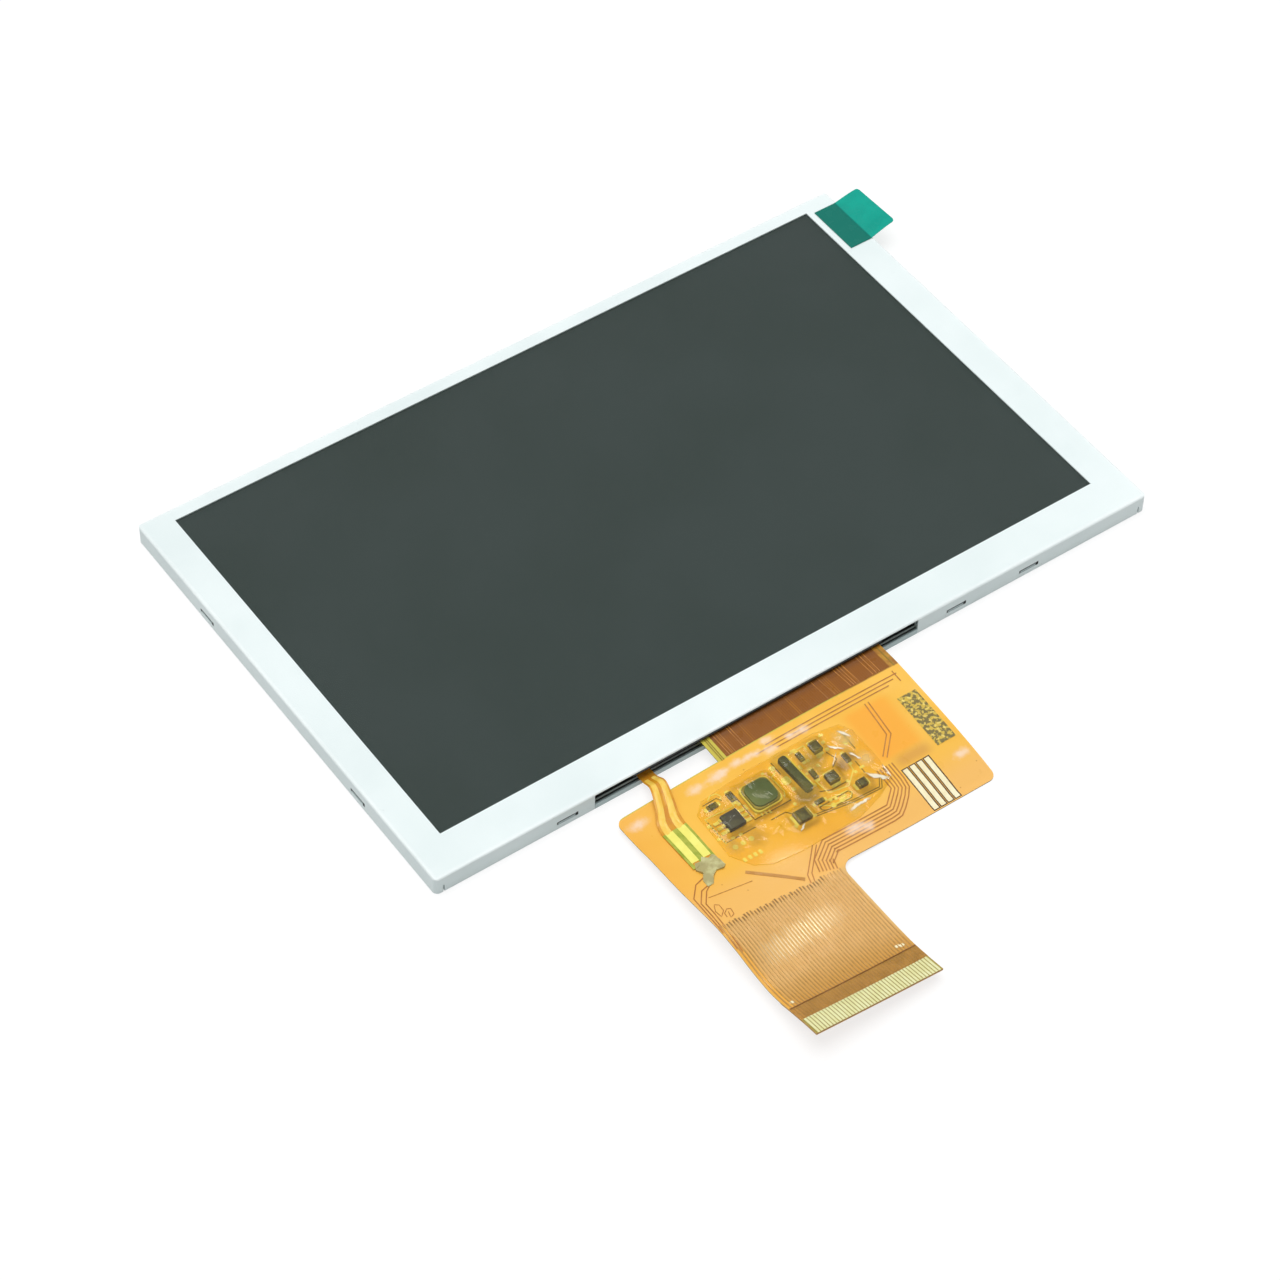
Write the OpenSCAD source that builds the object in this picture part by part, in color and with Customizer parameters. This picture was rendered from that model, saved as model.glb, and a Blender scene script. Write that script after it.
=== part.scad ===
// TFT display module: a backlit liquid crystal panel in a folded steel frame, with its flexible circuit.
// The rear face lies on z = 0, the screen faces +Z, and the flexible circuit leaves towards -Y.
// "Out" is a distance measured from the module's lower edge towards -Y.

/* [Module] */
// Length of the module along X
module_w = 120.7; // [118:0.1:126]
// Height of the module along Y
module_h = 75.8; // [74:0.1:80]
// Corner radius of the module's outline
corner_r = 0.8; // [0.5:0.1:1.4]
// Clearance between parts that fit in one another
fit_gap = 0.05; // [0.03:0.01:0.1]

/* [Front bezel] */
// Thickness of the bezel's sheet
bezel_t = 0.2; // [0.15:0.05:0.3]
// Outside radius of the fold between the face and the side walls
fold_r = 0.3; // [0.25:0.05:0.4]
// Width of the bezel's face left of the window
margin_left = 4.9; // [3.5:0.1:6]
// Width of the bezel's face right of the window
margin_right = 5.2; // [3.5:0.1:6]
// Width of the bezel's face above the window
margin_top = 2.2; // [1.8:0.1:3]
// Width of the bezel's face below the window
margin_bottom = 6.25; // [5.5:0.05:7]
// Left end of the notch in the lower wall, from the centre
notch_left = -35.0; // [-38:0.5:-33]
// Width of the notch
notch_w = 54.3; // [52:0.1:57]
// Width of a latch window
latch_w = 3.4; // [2.5:0.1:4]
// Height of a latch window
latch_h = 0.6; // [0.5:0.05:0.8]
// Height of a latch window's lower edge above the rear face
latch_z = 0.85; // [0.7:0.05:1]
// Width of the slits that free the walls at the corners
slit_w = 0.2; // [0.15:0.05:0.3]
// Height of those slits
slit_h = 1.35; // [1:0.05:1.6]

/* [Rear chassis] */
// Thickness of the chassis sheet
chassis_t = 0.2; // [0.15:0.05:0.3]
// Height of the chassis walls
chassis_wall_h = 1.7; // [1.55:0.05:2]
// Height of the chassis wall in the notch
chassis_lip_h = 0.9; // [0.7:0.05:1]

/* [Backlight] */
// Thickness of the reflector sheet
reflector_t = 0.1; // [0.08:0.01:0.15]
// Thickness of the light guide
guide_t = 0.8; // [0.7:0.05:1]
// Thickness of the diffuser sheet
diffuser_t = 0.1; // [0.08:0.01:0.15]
// Thickness of each prism sheet
prism_t = 0.1; // [0.08:0.01:0.15]
// Width of the plastic frame under the cell
frame_band = 1.7; // [1.4:0.1:2]
// Width of the plastic frame beside the cell
frame_rim = 0.8; // [0.6:0.1:1]
// Clearance round the sheets and the cell
sheet_gap = 0.15; // [0.1:0.05:0.25]
// Depth of an LED, from its back to its window
led_d = 1.0; // [0.8:0.1:1.2]
// Width of an LED
led_w = 3.0; // [2.5:0.1:3.8]
// From each end of the guide plate to its nearest LED
led_end = 5.5; // [3:0.5:10]
// Number of LEDs
led_count = 18; // [12:1:18]
// Width of the LED strip
strip_w = 2.4; // [2:0.1:2.8]
// Thickness of the LED strip's film
strip_t = 0.1; // [0.08:0.01:0.12]

/* [Cell] */
// Thickness of the black rim tape
tape_t = 0.05; // [0.04:0.01:0.08]
// Width of the black rim tape
tape_w = 2.2; // [1.8:0.1:2.6]
// Thickness of each polariser
polariser_t = 0.15; // [0.12:0.01:0.2]
// Distance from a polariser's edge to the glass edge
polariser_inset = 0.3; // [0.2:0.1:0.5]
// Thickness of each glass
glass_t = 0.5; // [0.4:0.05:0.6]
// Depth of the ledge where the lower glass stands out
ledge_d = 2.9; // [2.7:0.1:3.2]
// Length of the driver chip
driver_w = 22; // [16:1:26]
// Depth of the driver chip
driver_d = 0.9; // [0.7:0.1:1]
// Height of the driver chip
driver_h = 0.3; // [0.25:0.05:0.4]

/* [Film and tab] */
// Thickness of the protective film
film_t = 0.05; // [0.04:0.01:0.08]
// Distance from the film's edge to the module's edge
film_inset = 0.55; // [0.3:0.05:1]
// Thickness of the pull tab
tab_t = 0.06; // [0.05:0.01:0.1]
// Width of the pull tab along Y
tab_w = 9.2; // [7:0.1:11]
// Distance from the pull tab's far side to the module's upper edge
tab_inset = 2.9; // [1.5:0.1:5]
// Length of the tab's part that is stuck down
tab_stuck = 4.2; // [3:0.1:6]
// Length of the tab's loose part
tab_loose = 3.9; // [2:0.1:6]
// Rise of the tab's loose end
tab_rise = 1.35; // [0.5:0.05:2]

/* [Flexible circuit] */
// Thickness of the flexible circuit
flex_t = 0.15; // [0.1:0.01:0.2]
// Left edge of the neck, from the centre
neck_left = -17.8; // [-19:0.1:-17]
// Length of the neck between the module and the body
neck_len = 4.1; // [3.8:0.1:4.5]
// Left edge of the body, from the centre
flex_left = -34.6; // [-36:0.1:-33.5]
// Width of the body
body_w = 47.1; // [46:0.1:48.5]
// Height of the body, from the neck to its lower edge
body_h = 22.1; // [21.5:0.1:23]
// Length of the tail, from the body's lower edge
tail_len = 21.9; // [20:0.1:24]
// Radius of the body's corners
body_r = 1.2; // [0.8:0.1:2]
// Radius where the tail meets the body
tail_r = 2.0; // [1:0.1:2.5]
// Bonded length on the glass
bond_len = 1.6; // [1.2:0.1:1.7]

/* [Tail contacts] */
// Number of contacts
contact_count = 40; // [30:1:40]
// Distance from one contact to the next
contact_pitch = 0.5; // [0.48:0.01:0.52]
// Width of a contact
contact_w = 0.3; // [0.25:0.01:0.35]
// Length of the bare contacts
contact_len = 3.1; // [2.5:0.1:3.5]
// Film left beside the outer contacts
contact_margin = 0.35; // [0.3:0.05:0.6]
// Width of a track
track_w = 0.22; // [0.15:0.01:0.28]
// Thickness of the copper tracks
track_t = 0.03; // [0.02:0.005:0.05]
// Length of the dark cover band behind the contacts
band_len = 2.6; // [2:0.1:3.5]
// Length of the stiffener under the contacts
stiffener_len = 7.5; // [6:0.1:9]
// Thickness of the stiffener
stiffener_t = 0.15; // [0.1:0.01:0.2]

/* [Parts on the body] */
// Side of the power inductor
inductor_w = 4.6; // [4:0.1:5]
// Height of the power inductor
inductor_h = 1.0; // [0.8:0.05:1.1]
// Side of the boost chip's case
chip_w = 2.6; // [2.2:0.1:2.8]
// Height of the boost chip
chip_h = 0.8; // [0.6:0.05:1]
// Number of leads on each side of the boost chip
chip_leads_per_side = 3; // [2:1:3]
// Length of the slim diode
diode_len = 6.4; // [5:0.1:7]
// Width of the slim diode
diode_w = 1.2; // [1:0.1:1.4]
// Height of the slim diode
diode_h = 0.8; // [0.6:0.05:1]
// Height of the ceramic capacitors
capacitor_h = 0.7; // [0.5:0.05:0.9]
// Height of the chip resistors
resistor_h = 0.35; // [0.3:0.05:0.5]
// Clearance of the amber tape over the tallest part
cover_gap = 0.12; // [0.1:0.01:0.2]
// Thickness of the amber tape
cover_t = 0.06; // [0.05:0.01:0.1]
// Number of touch pads
touch_count = 4; // [3:1:4]
// Distance from one touch pad to the next
touch_pitch = 1.2; // [1:0.05:1.3]
// Width of a touch pad
touch_w = 0.75; // [0.6:0.05:0.9]
// Length of a touch pad
touch_len = 7.2; // [6:0.1:8]
// Width of a solder pad of the backlight's tail
pad_w = 1.4; // [1.2:0.1:1.6]
// Length of a solder pad of the backlight's tail
pad_len = 6.6; // [5:0.1:7.5]
// Distance from one solder pad to the other
pad_pitch = 2.1; // [1.9:0.1:2.4]

/* [Hidden] */
$fn = 48;
// Overshoot of a cutting solid past the face it cuts
over = 1;
// Gap between the flexible circuit and what lies on its curved face
skin_gap = 0.03;
// Spacing of the lattice that the curved sheets follow
lattice_x = 4;
lattice_out = 2;

// Levels of the stack, from the rear face up
reflector_z = chassis_t;
guide_z = reflector_z + reflector_t;
strip_z = guide_z + guide_t;
diffuser_z = strip_z;
lower_prism_z = diffuser_z + diffuser_t;
upper_prism_z = lower_prism_z + prism_t;
tape_z = upper_prism_z + prism_t;
rear_polariser_z = tape_z + tape_t;
glass_z = rear_polariser_z + polariser_t;
ledge_z = glass_z + glass_t;
front_polariser_z = ledge_z + glass_t;
plate_z = front_polariser_z + polariser_t + fit_gap;
module_t = plate_z + bezel_t;
// Height that the plastic frame is cut down to where the circuits come out
sill_z = strip_z - fit_gap;

// Half sizes of the fitted parts, from the outside in
outer = [module_w / 2, module_h / 2];
inside_bezel = outer - [bezel_t, bezel_t];
chassis_half = inside_bezel - [fit_gap, fit_gap];
film_half = outer - [film_inset, film_inset];
inside_chassis = chassis_half - [chassis_t, chassis_t];
frame_half = inside_chassis - [fit_gap, fit_gap];
rest_half = frame_half - [frame_rim, frame_rim];
cell_half = rest_half - [sheet_gap, sheet_gap];
polariser_half = cell_half - [polariser_inset, polariser_inset];
well_half = frame_half - [frame_band, frame_band];
sheet_half = well_half - [sheet_gap, sheet_gap];
lower_edge = -outer.y;
// Corner radii in plan of the chassis and of the plastic frame
chassis_r = corner_r - bezel_t;
frame_r = chassis_r - chassis_t;
// Distance from a corner slit to the module's side, and the gap round a latch tongue
slit_inset = 1.35;
tongue_gap = 0.1;
// Lower edges of the light guide and of the sheets, past the LEDs and their strip
led_back = -sheet_half.y;
led_row = 2 * (sheet_half.x - led_end);
led_pitch = (led_row - led_w) / (led_count - 1);
guide_low = led_back + led_d + fit_gap;
sheet_low = led_back + strip_w + fit_gap;

// Window in the bezel: [low x, low y] and [high x, high y]
window_low = [margin_left, margin_bottom] - outer;
window_high = outer - [margin_right, margin_top];
notch_right = notch_left + notch_w;
// Places of the latches along the lower wall, the upper wall and the side walls
latch_low = [-39.4, 26.1, 39.0];
latch_high = [-39.0, -13.0, 13.0, 39.0];
latch_side = [-19.2, 19.2];

// The flexible circuit: right edges, and distances out from the module's lower edge
flex_right = flex_left + body_w;
contacts_w = (contact_count - 1) * contact_pitch + contact_w;
tail_w = contacts_w + 2 * contact_margin;
tail_right = flex_left + tail_w;
body_out = neck_len + body_h;
tail_out = body_out + tail_len;
contact_out = tail_out - contact_len;
bond_out = lower_edge + cell_half.y - bond_len;

// The circuit's underside along its left edge, its tail's right edge and its body's right edge:
// [distance out, height above the rear face]. It hangs from the glass and its lower right side lies down.
left_line = [[0, ledge_z], [4, 1.0], [9, 1.1], [12, 1.5], [18, 1.9], [22, 2.4], [27, 3.0], [31, 2.8],
  [35, 2.2], [38.5, 2.05], [41, 2.5], [43, 3.1], [46, 3.9], [48, 4.3]];
middle_line = [[0, ledge_z], [4, 2.1], [10, 1.9], [16, 1.4], [22, 0.95], [27, 0.6], [33, 0.55], [39, 0.65],
  [42, 0.85], [45, 1.4], [48, 2.1]];
right_line = [[0, ledge_z], [4, 2.2], [10, 1.85], [16, 1.4], [20, 0.95], [23, 0.5], [26, 0], [48, 0]];
// Route of the backlight's tail over the circuit: [x, out, lift over the circuit, width]
led_out = lower_edge - led_back - over;
led_tail_x = -29.2;
led_tail_lift = 0.06;
led_tail_end = 0.6;
pad_out = 10.0;
led_tail_w = pad_pitch + pad_w + 0.3;
led_tail = [[-26.6, led_out, 0, 2.2], [-26.6, 0.6, 0, 2.2], [-26.9, 3, 0.6, 2.6], [-27.9, 6, 0.4, 3.1],
  [-28.8, 8, 0.2, 3.6],
  for (p = run(led_tail_x, pad_out, pad_out + pad_len + led_tail_end)) [p.x, p.y, led_tail_lift, led_tail_w]];
solder_t = 0.1;
joint_out = pad_out + pad_len + led_tail_end + skin_gap;
joint_len = 2;
joint_t = 0.3;

// Places on the circuit, as [x, out]
seat_gap = 0.06;
neck_margin = 1.4;
neck_pitch = 0.8;
neck_track_w = 0.48;
top_tracks = [[[11.2, 5.5], [-11, 5.5]], [[10.2, 6.1], [-13, 6.1]], [[9, 6.7], [-10, 6.7]],
  [[4.3, 7.4], [3.8, 13], [1.2, 15.6]], [[4.9, 7.4], [4.4, 13.2], [1.6, 16]]];
bus_track = [[-0.9, 17], [-0.9, 20.2], [-3, 22], [-13.8, 22], [-16.6, 24], [-17.2, 26]];
bus_count = 6;
bus_pitch = 0.5;
ground_track = [[-26.2, 21], [-21.6, 26]];
// How far the tail's tracks start above the body's lower edge, in turn
track_start = [1.2, 0.6, 1.6, 0.5, 1.0];
touch_inset = 10;
touch_out = 18.8;
marking_w = 2.6;
marking_len = 9;
marking_inset = 0.7;
marking_out = 9.1;
test_r = 0.4;
test_places = [[-12.6, 9.2], [-7.6, 18.2], [-9.1, 18.3], [-24.2, 16.8], [-22.9, 16.8], [-21.6, 16.8]];
inductor_r = 1;
inductor_place = [-16.5, 11.9];
chip_place = [-22.1, 13.3];
lead_len = 0.8;
lead_w = 0.4;
lead_t = 0.1;
lead_pitch = 0.9;
diode_place = [-10.7, 11.8];
diode_turn = 4;
// What the turned part needs under the tape: on each side, and above
turn_room = [0.4, 0.15];
// [x, out, width, length] of each capacitor and resistor
capacitor_places = [[-5.8, 9.7, 1.4, 1.8], [-6.8, 14.8, 1.7, 1.7], [-13.8, 17.6, 2.2, 1.9],
  [-3.9, 17.6, 1.5, 1.2]];
resistor_places = [[-22.9, 9.8, 1.6, 0.9], [-19.9, 9.9, 0.9, 1.6], [-8.4, 9.8, 0.8, 1.5],
  [-8.5, 13, 0.8, 1.5], [-3.2, 13.2, 0.8, 1.5], [-10.4, 16.9, 1.4, 0.7]];
cover_left = -25.6;
cover_right = 0.4;
cover_out = 7.6;
cover_low = 20.2;
cover_cell = 1.2;
// The parts under the tape: [x, out, half width, half length, height]
covered = concat([
  [inductor_place.x, inductor_place.y, inductor_w / 2, inductor_w / 2, inductor_h],
  [chip_place.x, chip_place.y, chip_w / 2, chip_w / 2, chip_h + lead_t],
  [chip_place.x, chip_place.y, chip_w / 2 + lead_len, chip_w / 2, chip_h / 2],
  [diode_place.x, diode_place.y, diode_w / 2 + turn_room.x, diode_len / 2 + turn_room.x,
    diode_h + turn_room.y]],
  [for (c = capacitor_places) [c[0], c[1], c[2] / 2, c[3] / 2, capacitor_h]],
  [for (c = resistor_places) [c[0], c[1], c[2] / 2, c[3] / 2, resistor_h]]);

function slope(line, i) = i == 0 ? 0
  : i == len(line) - 1 ? (line[i].y - line[i - 1].y) / (line[i].x - line[i - 1].x)
  : (line[i + 1].y - line[i - 1].y) / (line[i + 1].x - line[i - 1].x);
function span(line, out, i = 0) = (i == len(line) - 2 || out < line[i + 1].x) ? i : span(line, out, i + 1);
// Smooth height along a line: level before its first point, straight on after its last
function along(line, out) =
  let (last = len(line) - 1)
  out <= line[0].x ? line[0].y
  : out >= line[last].x ? line[last].y + slope(line, last) * (out - line[last].x)
  : let (i = span(line, out), step = line[i + 1].x - line[i].x, u = (out - line[i].x) / step)
    (1 + 2 * u) * pow(1 - u, 2) * line[i].y + pow(u, 2) * (3 - 2 * u) * line[i + 1].y
    + step * u * pow(1 - u, 2) * slope(line, i) - step * pow(u, 2) * (1 - u) * slope(line, i + 1);
// Height of the circuit's underside: a parabola across the three lines, never under the floor
function flex_z(x, out) =
  let (t = (x - flex_left) / body_w, m = tail_w / body_w)
  max(0, along(left_line, out) * (1 - t) * (m - t) / m
    + along(middle_line, out) * t * (1 - t) / (m * (1 - m))
    + along(right_line, out) * t * (t - m) / (1 - m));
function flex_top(x, out) = flex_z(x, out) + flex_t;
function at(x, out, z) = [x, lower_edge - out, z];

// Lattice positions between two ends
function lattice(low, high, step) =
  [low, for (k = [floor(low / step + 0.05) + 1 : 1 : ceil(high / step - 0.05) - 1]) k * step, high];
// Route straight out along x, with a point at each lattice line
function run(x, from, to) = [for (out = lattice(from, to, lattice_out)) [x, out]];
// Points along a path of [x, out], no further apart than a lattice step
function fine(path) = [
  for (i = [0 : len(path) - 2])
    let (d = path[i + 1] - path[i], n = ceil(norm(d) / lattice_out))
      for (k = [0 : n - 1]) path[i] + d * k / n,
  path[len(path) - 1]];
function unit(v) = v / norm(v);
function heading(path, i) = unit(path[min(i + 1, len(path) - 1)] - path[max(i - 1, 0)]);
// A path's edge on one side (-1 or 1)
function edge(path, w, side) = [for (i = [0 : len(path) - 1])
  let (d = heading(path, i)) path[i] + side * w / 2 * [d.y, -d.x]];

// One side of the backlight's tail: level out of the notch, then lifted over the circuit
function led_tail_side(side) =
  let (route = [for (p = led_tail) [p[0], p[1]]])
  [for (i = [0 : len(route) - 1])
    let (d = heading(route, i), p = route[i] + side * led_tail[i][3] / 2 * [d.y, -d.x])
      at(p.x, p.y, led_tail[i][2] == 0 ? strip_z : flex_top(p.x, p.y) + led_tail[i][2])];

// Curved sheet over a grid of xs and outs, whose underside is bottom(x, out)
module sheet(xs, outs, t, bottom) {
  nx = len(xs);
  no = len(outs);
  low = [for (out = outs, x = xs) at(x, out, bottom(x, out))];
  high = [for (p = low) p + [0, 0, t]];
  base = nx * no;
  cells = [for (j = [0 : no - 2], i = [0 : nx - 2]) j * nx + i];
  rims = [
    for (i = [0 : nx - 2]) [i, i + 1],
    for (j = [0 : no - 2]) [j * nx + nx - 1, (j + 1) * nx + nx - 1],
    for (i = [nx - 2 : -1 : 0]) [(no - 1) * nx + i + 1, (no - 1) * nx + i],
    for (j = [no - 2 : -1 : 0]) [(j + 1) * nx, j * nx]];
  polyhedron(concat(low, high), [
    for (c = cells) each [[c, c + nx, c + 1], [c + 1, c + nx, c + nx + 1]],
    for (c = cells) each [[base + c, base + c + 1, base + c + nx],
      [base + c + 1, base + c + nx + 1, base + c + nx]],
    for (r = rims) each [[r[0], r[1], base + r[1]], [r[0], base + r[1], base + r[0]]]]);
}

// Strip between two rows of points along its underside
module strip(left, right, t) {
  n = len(left);
  up = [0, 0, t];
  polyhedron([for (i = [0 : n - 1]) each [left[i], right[i], right[i] + up, left[i] + up]], [
    [0, 1, 2], [0, 2, 3],
    [4 * n - 4, 4 * n - 2, 4 * n - 3], [4 * n - 4, 4 * n - 1, 4 * n - 2],
    for (i = [0 : 4 : 4 * n - 8], s = [0 : 3])
      let (a = i + s, b = i + (s + 1) % 4) each [[a, b + 4, b], [a, a + 4, b + 4]]]);
}

// Ribbon laid on the circuit's upper face along a route of [x, out]
module ribbon(route, w, t, lift = skin_gap) {
  rows = [for (side = [-1, 1]) [for (p = edge(route, w, side)) at(p.x, p.y, flex_top(p.x, p.y) + lift)]];
  strip(rows[0], rows[1], t);
}

// Seats a flat part on the circuit's upper face, tilted as the film is there
module seat(x, out, lift) {
  reach = 1;
  pitch = atan((flex_z(x, out - reach) - flex_z(x, out + reach)) / (2 * reach));
  roll = atan((flex_z(x + reach, out) - flex_z(x - reach, out)) / (2 * reach));
  translate(at(x, out, flex_top(x, out) + lift)) rotate([pitch, -roll, 0]) children();
}

module block(size) translate([-size.x / 2, -size.y / 2, 0]) cube(size);
module slab(low, high, z, t) translate([low.x, low.y, z]) cube([high.x - low.x, high.y - low.y, t]);
module rounded(half, r) {
  square(2 * (half - [r, 0]), center = true);
  square(2 * (half - [0, r]), center = true);
  for (sx = [-1, 1], sy = [-1, 1]) translate([sx * (half.x - r), sy * (half.y - r)]) circle(r);
}
// Upright tray or lid profile: a rectangle whose upper corners are round
module arch(half_w, h, r) {
  translate([-half_w, -over]) square([2 * half_w, h - r + over]);
  translate([-half_w + r, 0]) square([2 * (half_w - r), h]);
  for (s = [-1, 1]) translate([s * (half_w - r), h - r]) circle(r);
}

// Solid of a folded box: round corners in plan, round folds along its face
module folded(half, h, plan_r, edge_r) intersection() {
  linear_extrude(h) rounded(half, plan_r);
  translate([0, half.y, 0]) rotate([90, 0, 0]) linear_extrude(2 * half.y) arch(half.x, h, edge_r);
  rotate([90, 0, 90]) translate([0, 0, -half.x]) linear_extrude(2 * half.x) arch(half.y, h, edge_r);
}

// Blocks at the latches, from a face outwards: the windows, or the tongues that fill them less a gap
module latches(face, depth, gap) {
  w = latch_w - 2 * gap;
  h = latch_h - 2 * gap;
  for (x = latch_low) translate([x, -face.y - depth / 2, latch_z + gap]) block([w, depth, h]);
  for (x = latch_high) translate([x, face.y + depth / 2, latch_z + gap]) block([w, depth, h]);
  for (s = [-1, 1], y = latch_side)
    translate([s * (face.x + depth / 2), y, latch_z + gap]) block([depth, w, h]);
}

module front_bezel() color("whitesmoke") difference() {
  folded(outer, module_t, corner_r, fold_r);
  translate([0, 0, -over]) folded(inside_bezel, plate_z + over, chassis_r, fold_r - bezel_t);
  slab(window_low, window_high, plate_z - over, bezel_t + 2 * over);
  slab([notch_left, lower_edge - over], [notch_right, lower_edge + bezel_t + fit_gap / 2],
    -over, plate_z + over);
  latches(chassis_half, bezel_t + over, 0);
  for (sx = [-1, 1], sy = [-1, 1])
    translate([sx * (outer.x - slit_inset), sy * outer.y, -over])
      block([slit_w, 3 * bezel_t, slit_h + over]);
}

module rear_chassis() color("gainsboro") {
  lip_low = [notch_left + fit_gap, lower_edge];
  lip_right = notch_right - fit_gap;
  difference() {
    linear_extrude(chassis_wall_h) rounded(chassis_half, chassis_r);
    translate([0, 0, chassis_t]) linear_extrude(chassis_wall_h) rounded(inside_chassis, frame_r);
    slab([notch_left, lower_edge], [notch_right, over - inside_chassis.y], chassis_t, chassis_wall_h);
  }
  slab(lip_low, [lip_right, -inside_chassis.y], 0, chassis_t);
  slab(lip_low, [lip_right, lower_edge + chassis_t], 0, chassis_lip_h);
  latches(chassis_half - [chassis_t, chassis_t] / 2, chassis_t / 2 + bezel_t, tongue_gap);
}

module mould_frame() color("white") difference() {
  translate([0, 0, chassis_t]) linear_extrude(front_polariser_z - chassis_t) rounded(frame_half, frame_r);
  slab(-well_half, well_half, 0, module_t);
  slab(-rest_half, rest_half, tape_z, module_t);
  slab([notch_left, lower_edge], [notch_right, over - well_half.y], sill_z, module_t);
}

module reflector_sheet() color("white") slab(-sheet_half, sheet_half, reflector_z, reflector_t);
module light_guide_plate() color("aliceblue")
  slab([-sheet_half.x, guide_low], sheet_half, guide_z, guide_t);
module diffuser_sheet() color("white") slab([-sheet_half.x, sheet_low], sheet_half, diffuser_z, diffuser_t);
module lower_prism_sheet() color("lightcyan")
  slab([-sheet_half.x, sheet_low], sheet_half, lower_prism_z, prism_t);
module upper_prism_sheet() color("lightcyan")
  slab([-sheet_half.x, sheet_low], sheet_half, upper_prism_z, prism_t);

module backlight_leds() color("ivory")
  for (i = [0 : led_count - 1])
    translate([(i - (led_count - 1) / 2) * led_pitch, led_back + led_d / 2, guide_z])
      block([led_w, led_d, guide_t]);
module rim_tape() color("black") difference() {
  slab(-cell_half, cell_half, tape_z, tape_t);
  slab([tape_w, tape_w] - cell_half, cell_half - [tape_w, tape_w], tape_z - over, tape_t + 2 * over);
}

module rear_polariser() color("dimgray") slab(-polariser_half, polariser_half, rear_polariser_z, polariser_t);
module tft_glass() color("darkslategray") slab(-cell_half, cell_half, glass_z, glass_t);
module colour_filter_glass() color("slategray")
  slab([0, ledge_d] - cell_half, cell_half, ledge_z, glass_t);
module front_polariser() color([0.25, 0.29, 0.28])
  slab([0, ledge_d] - polariser_half, polariser_half, front_polariser_z, polariser_t);
module driver_ic() color("dimgray")
  translate([(neck_left + flex_right) / 2, -cell_half.y + bond_len + fit_gap * 2 + driver_d / 2, ledge_z])
    block([driver_w, driver_d, driver_h]);

module protective_film() color([0.8, 0.9, 0.9, 0.3])
  slab(-film_half, film_half, module_t, film_t);
module pull_tab() color("teal")
  translate([outer.x - tab_stuck, outer.y - tab_inset, module_t + film_t]) rotate([90, 0, 0])
    linear_extrude(tab_w) polygon([[0, 0], [tab_stuck, 0], [tab_stuck + tab_loose, tab_rise],
      [tab_stuck + tab_loose, tab_rise + tab_t], [tab_stuck, tab_t], [0, tab_t]]);

// The backlight's strip and its tail, which swings to the left and lands on the circuit
module led_flex() color("gold") {
  strip_half = (led_row + led_w) / 2;
  slab([-strip_half, led_back], [strip_half, led_back + strip_w], strip_z, strip_t);
  strip(led_tail_side(-1), led_tail_side(1), strip_t);
}
module backlight_pads() color("khaki")
  for (side = [-1, 1])
    ribbon(run(led_tail_x + side * pad_pitch / 2, pad_out, pad_out + pad_len), pad_w, solder_t,
      led_tail_lift + strip_t + skin_gap);
module solder_joint() color("darkkhaki")
  ribbon(run(led_tail_x, joint_out, joint_out + joint_len), pad_pitch + pad_w, joint_t, 2 * skin_gap);

module flex_outline() {
  module flat(x0, x1, out0, out1) translate([x0, lower_edge - out1]) square([x1 - x0, out1 - out0]);
  flat(neck_left, flex_right, bond_out, neck_len + body_r);
  difference() {
    flat(flex_left, flex_right, neck_len, body_out);
    translate([flex_left, lower_edge - neck_len]) corner(body_r);
    translate([flex_right, lower_edge - body_out]) rotate(180) corner(body_r);
  }
  flat(flex_left, tail_right, body_out - body_r, tail_out);
  translate([tail_right, lower_edge - body_out]) corner(tail_r);
}
// What a round takes off a corner that points to the upper left
module corner(r) difference() {
  translate([0, -r]) square(r);
  translate([r, -r]) circle(r);
}
module flex_circuit() color("orange") intersection() {
  sheet(lattice(flex_left - 1, flex_right + 1, lattice_x), lattice(bond_out - 1, tail_out + 1, lattice_out),
    flex_t, function (x, out) flex_z(x, out));
  translate([0, 0, -over]) linear_extrude(10) flex_outline();
}

// Copper on the circuit
module neck_traces() color("saddlebrown")
  for (x = [neck_left + neck_margin : neck_pitch : flex_right - neck_margin])
    ribbon(run(x, 0, neck_len), neck_track_w, track_t);
module body_traces() color("sienna") {
  for (track = top_tracks) ribbon(fine(track), track_w, track_t, 2 * skin_gap);
  for (k = [0 : bus_count - 1])
    ribbon(fine(edge(bus_track, 2 * k * bus_pitch, 1)), track_w, track_t, 2 * skin_gap);
  ribbon(fine(ground_track), 4 * track_w, track_t, 2 * skin_gap);
}
function contact_x(i) = flex_left + contact_margin + contact_w / 2 + i * contact_pitch;
module tail_traces() color("sienna")
  for (i = [0 : contact_count - 1])
    ribbon(run(contact_x(i), body_out + track_start[i % len(track_start)], contact_out - skin_gap),
      track_w, track_t);
module contact_fingers() color("palegoldenrod")
  for (i = [0 : contact_count - 1])
    ribbon(run(contact_x(i), contact_out, tail_out - skin_gap), contact_w, track_t);
module tail_sheet(from, to, t, lift)
  sheet(lattice(flex_left + skin_gap, tail_right - skin_gap, lattice_x), lattice(from, to, lattice_out), t,
    function (x, out) flex_z(x, out) + lift);
module end_coverlay() color("peru")
  tail_sheet(contact_out - band_len, contact_out - skin_gap, track_t, flex_t + 2 * skin_gap + track_t);
module tail_stiffener() color("sandybrown")
  tail_sheet(tail_out - stiffener_len, tail_out, stiffener_t, -skin_gap - stiffener_t);
module touch_pads() color("beige")
  for (k = [0 : touch_count - 1])
    ribbon(run(flex_right - touch_inset + k * touch_pitch, touch_out, touch_out + touch_len),
      touch_w, track_t);
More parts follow.
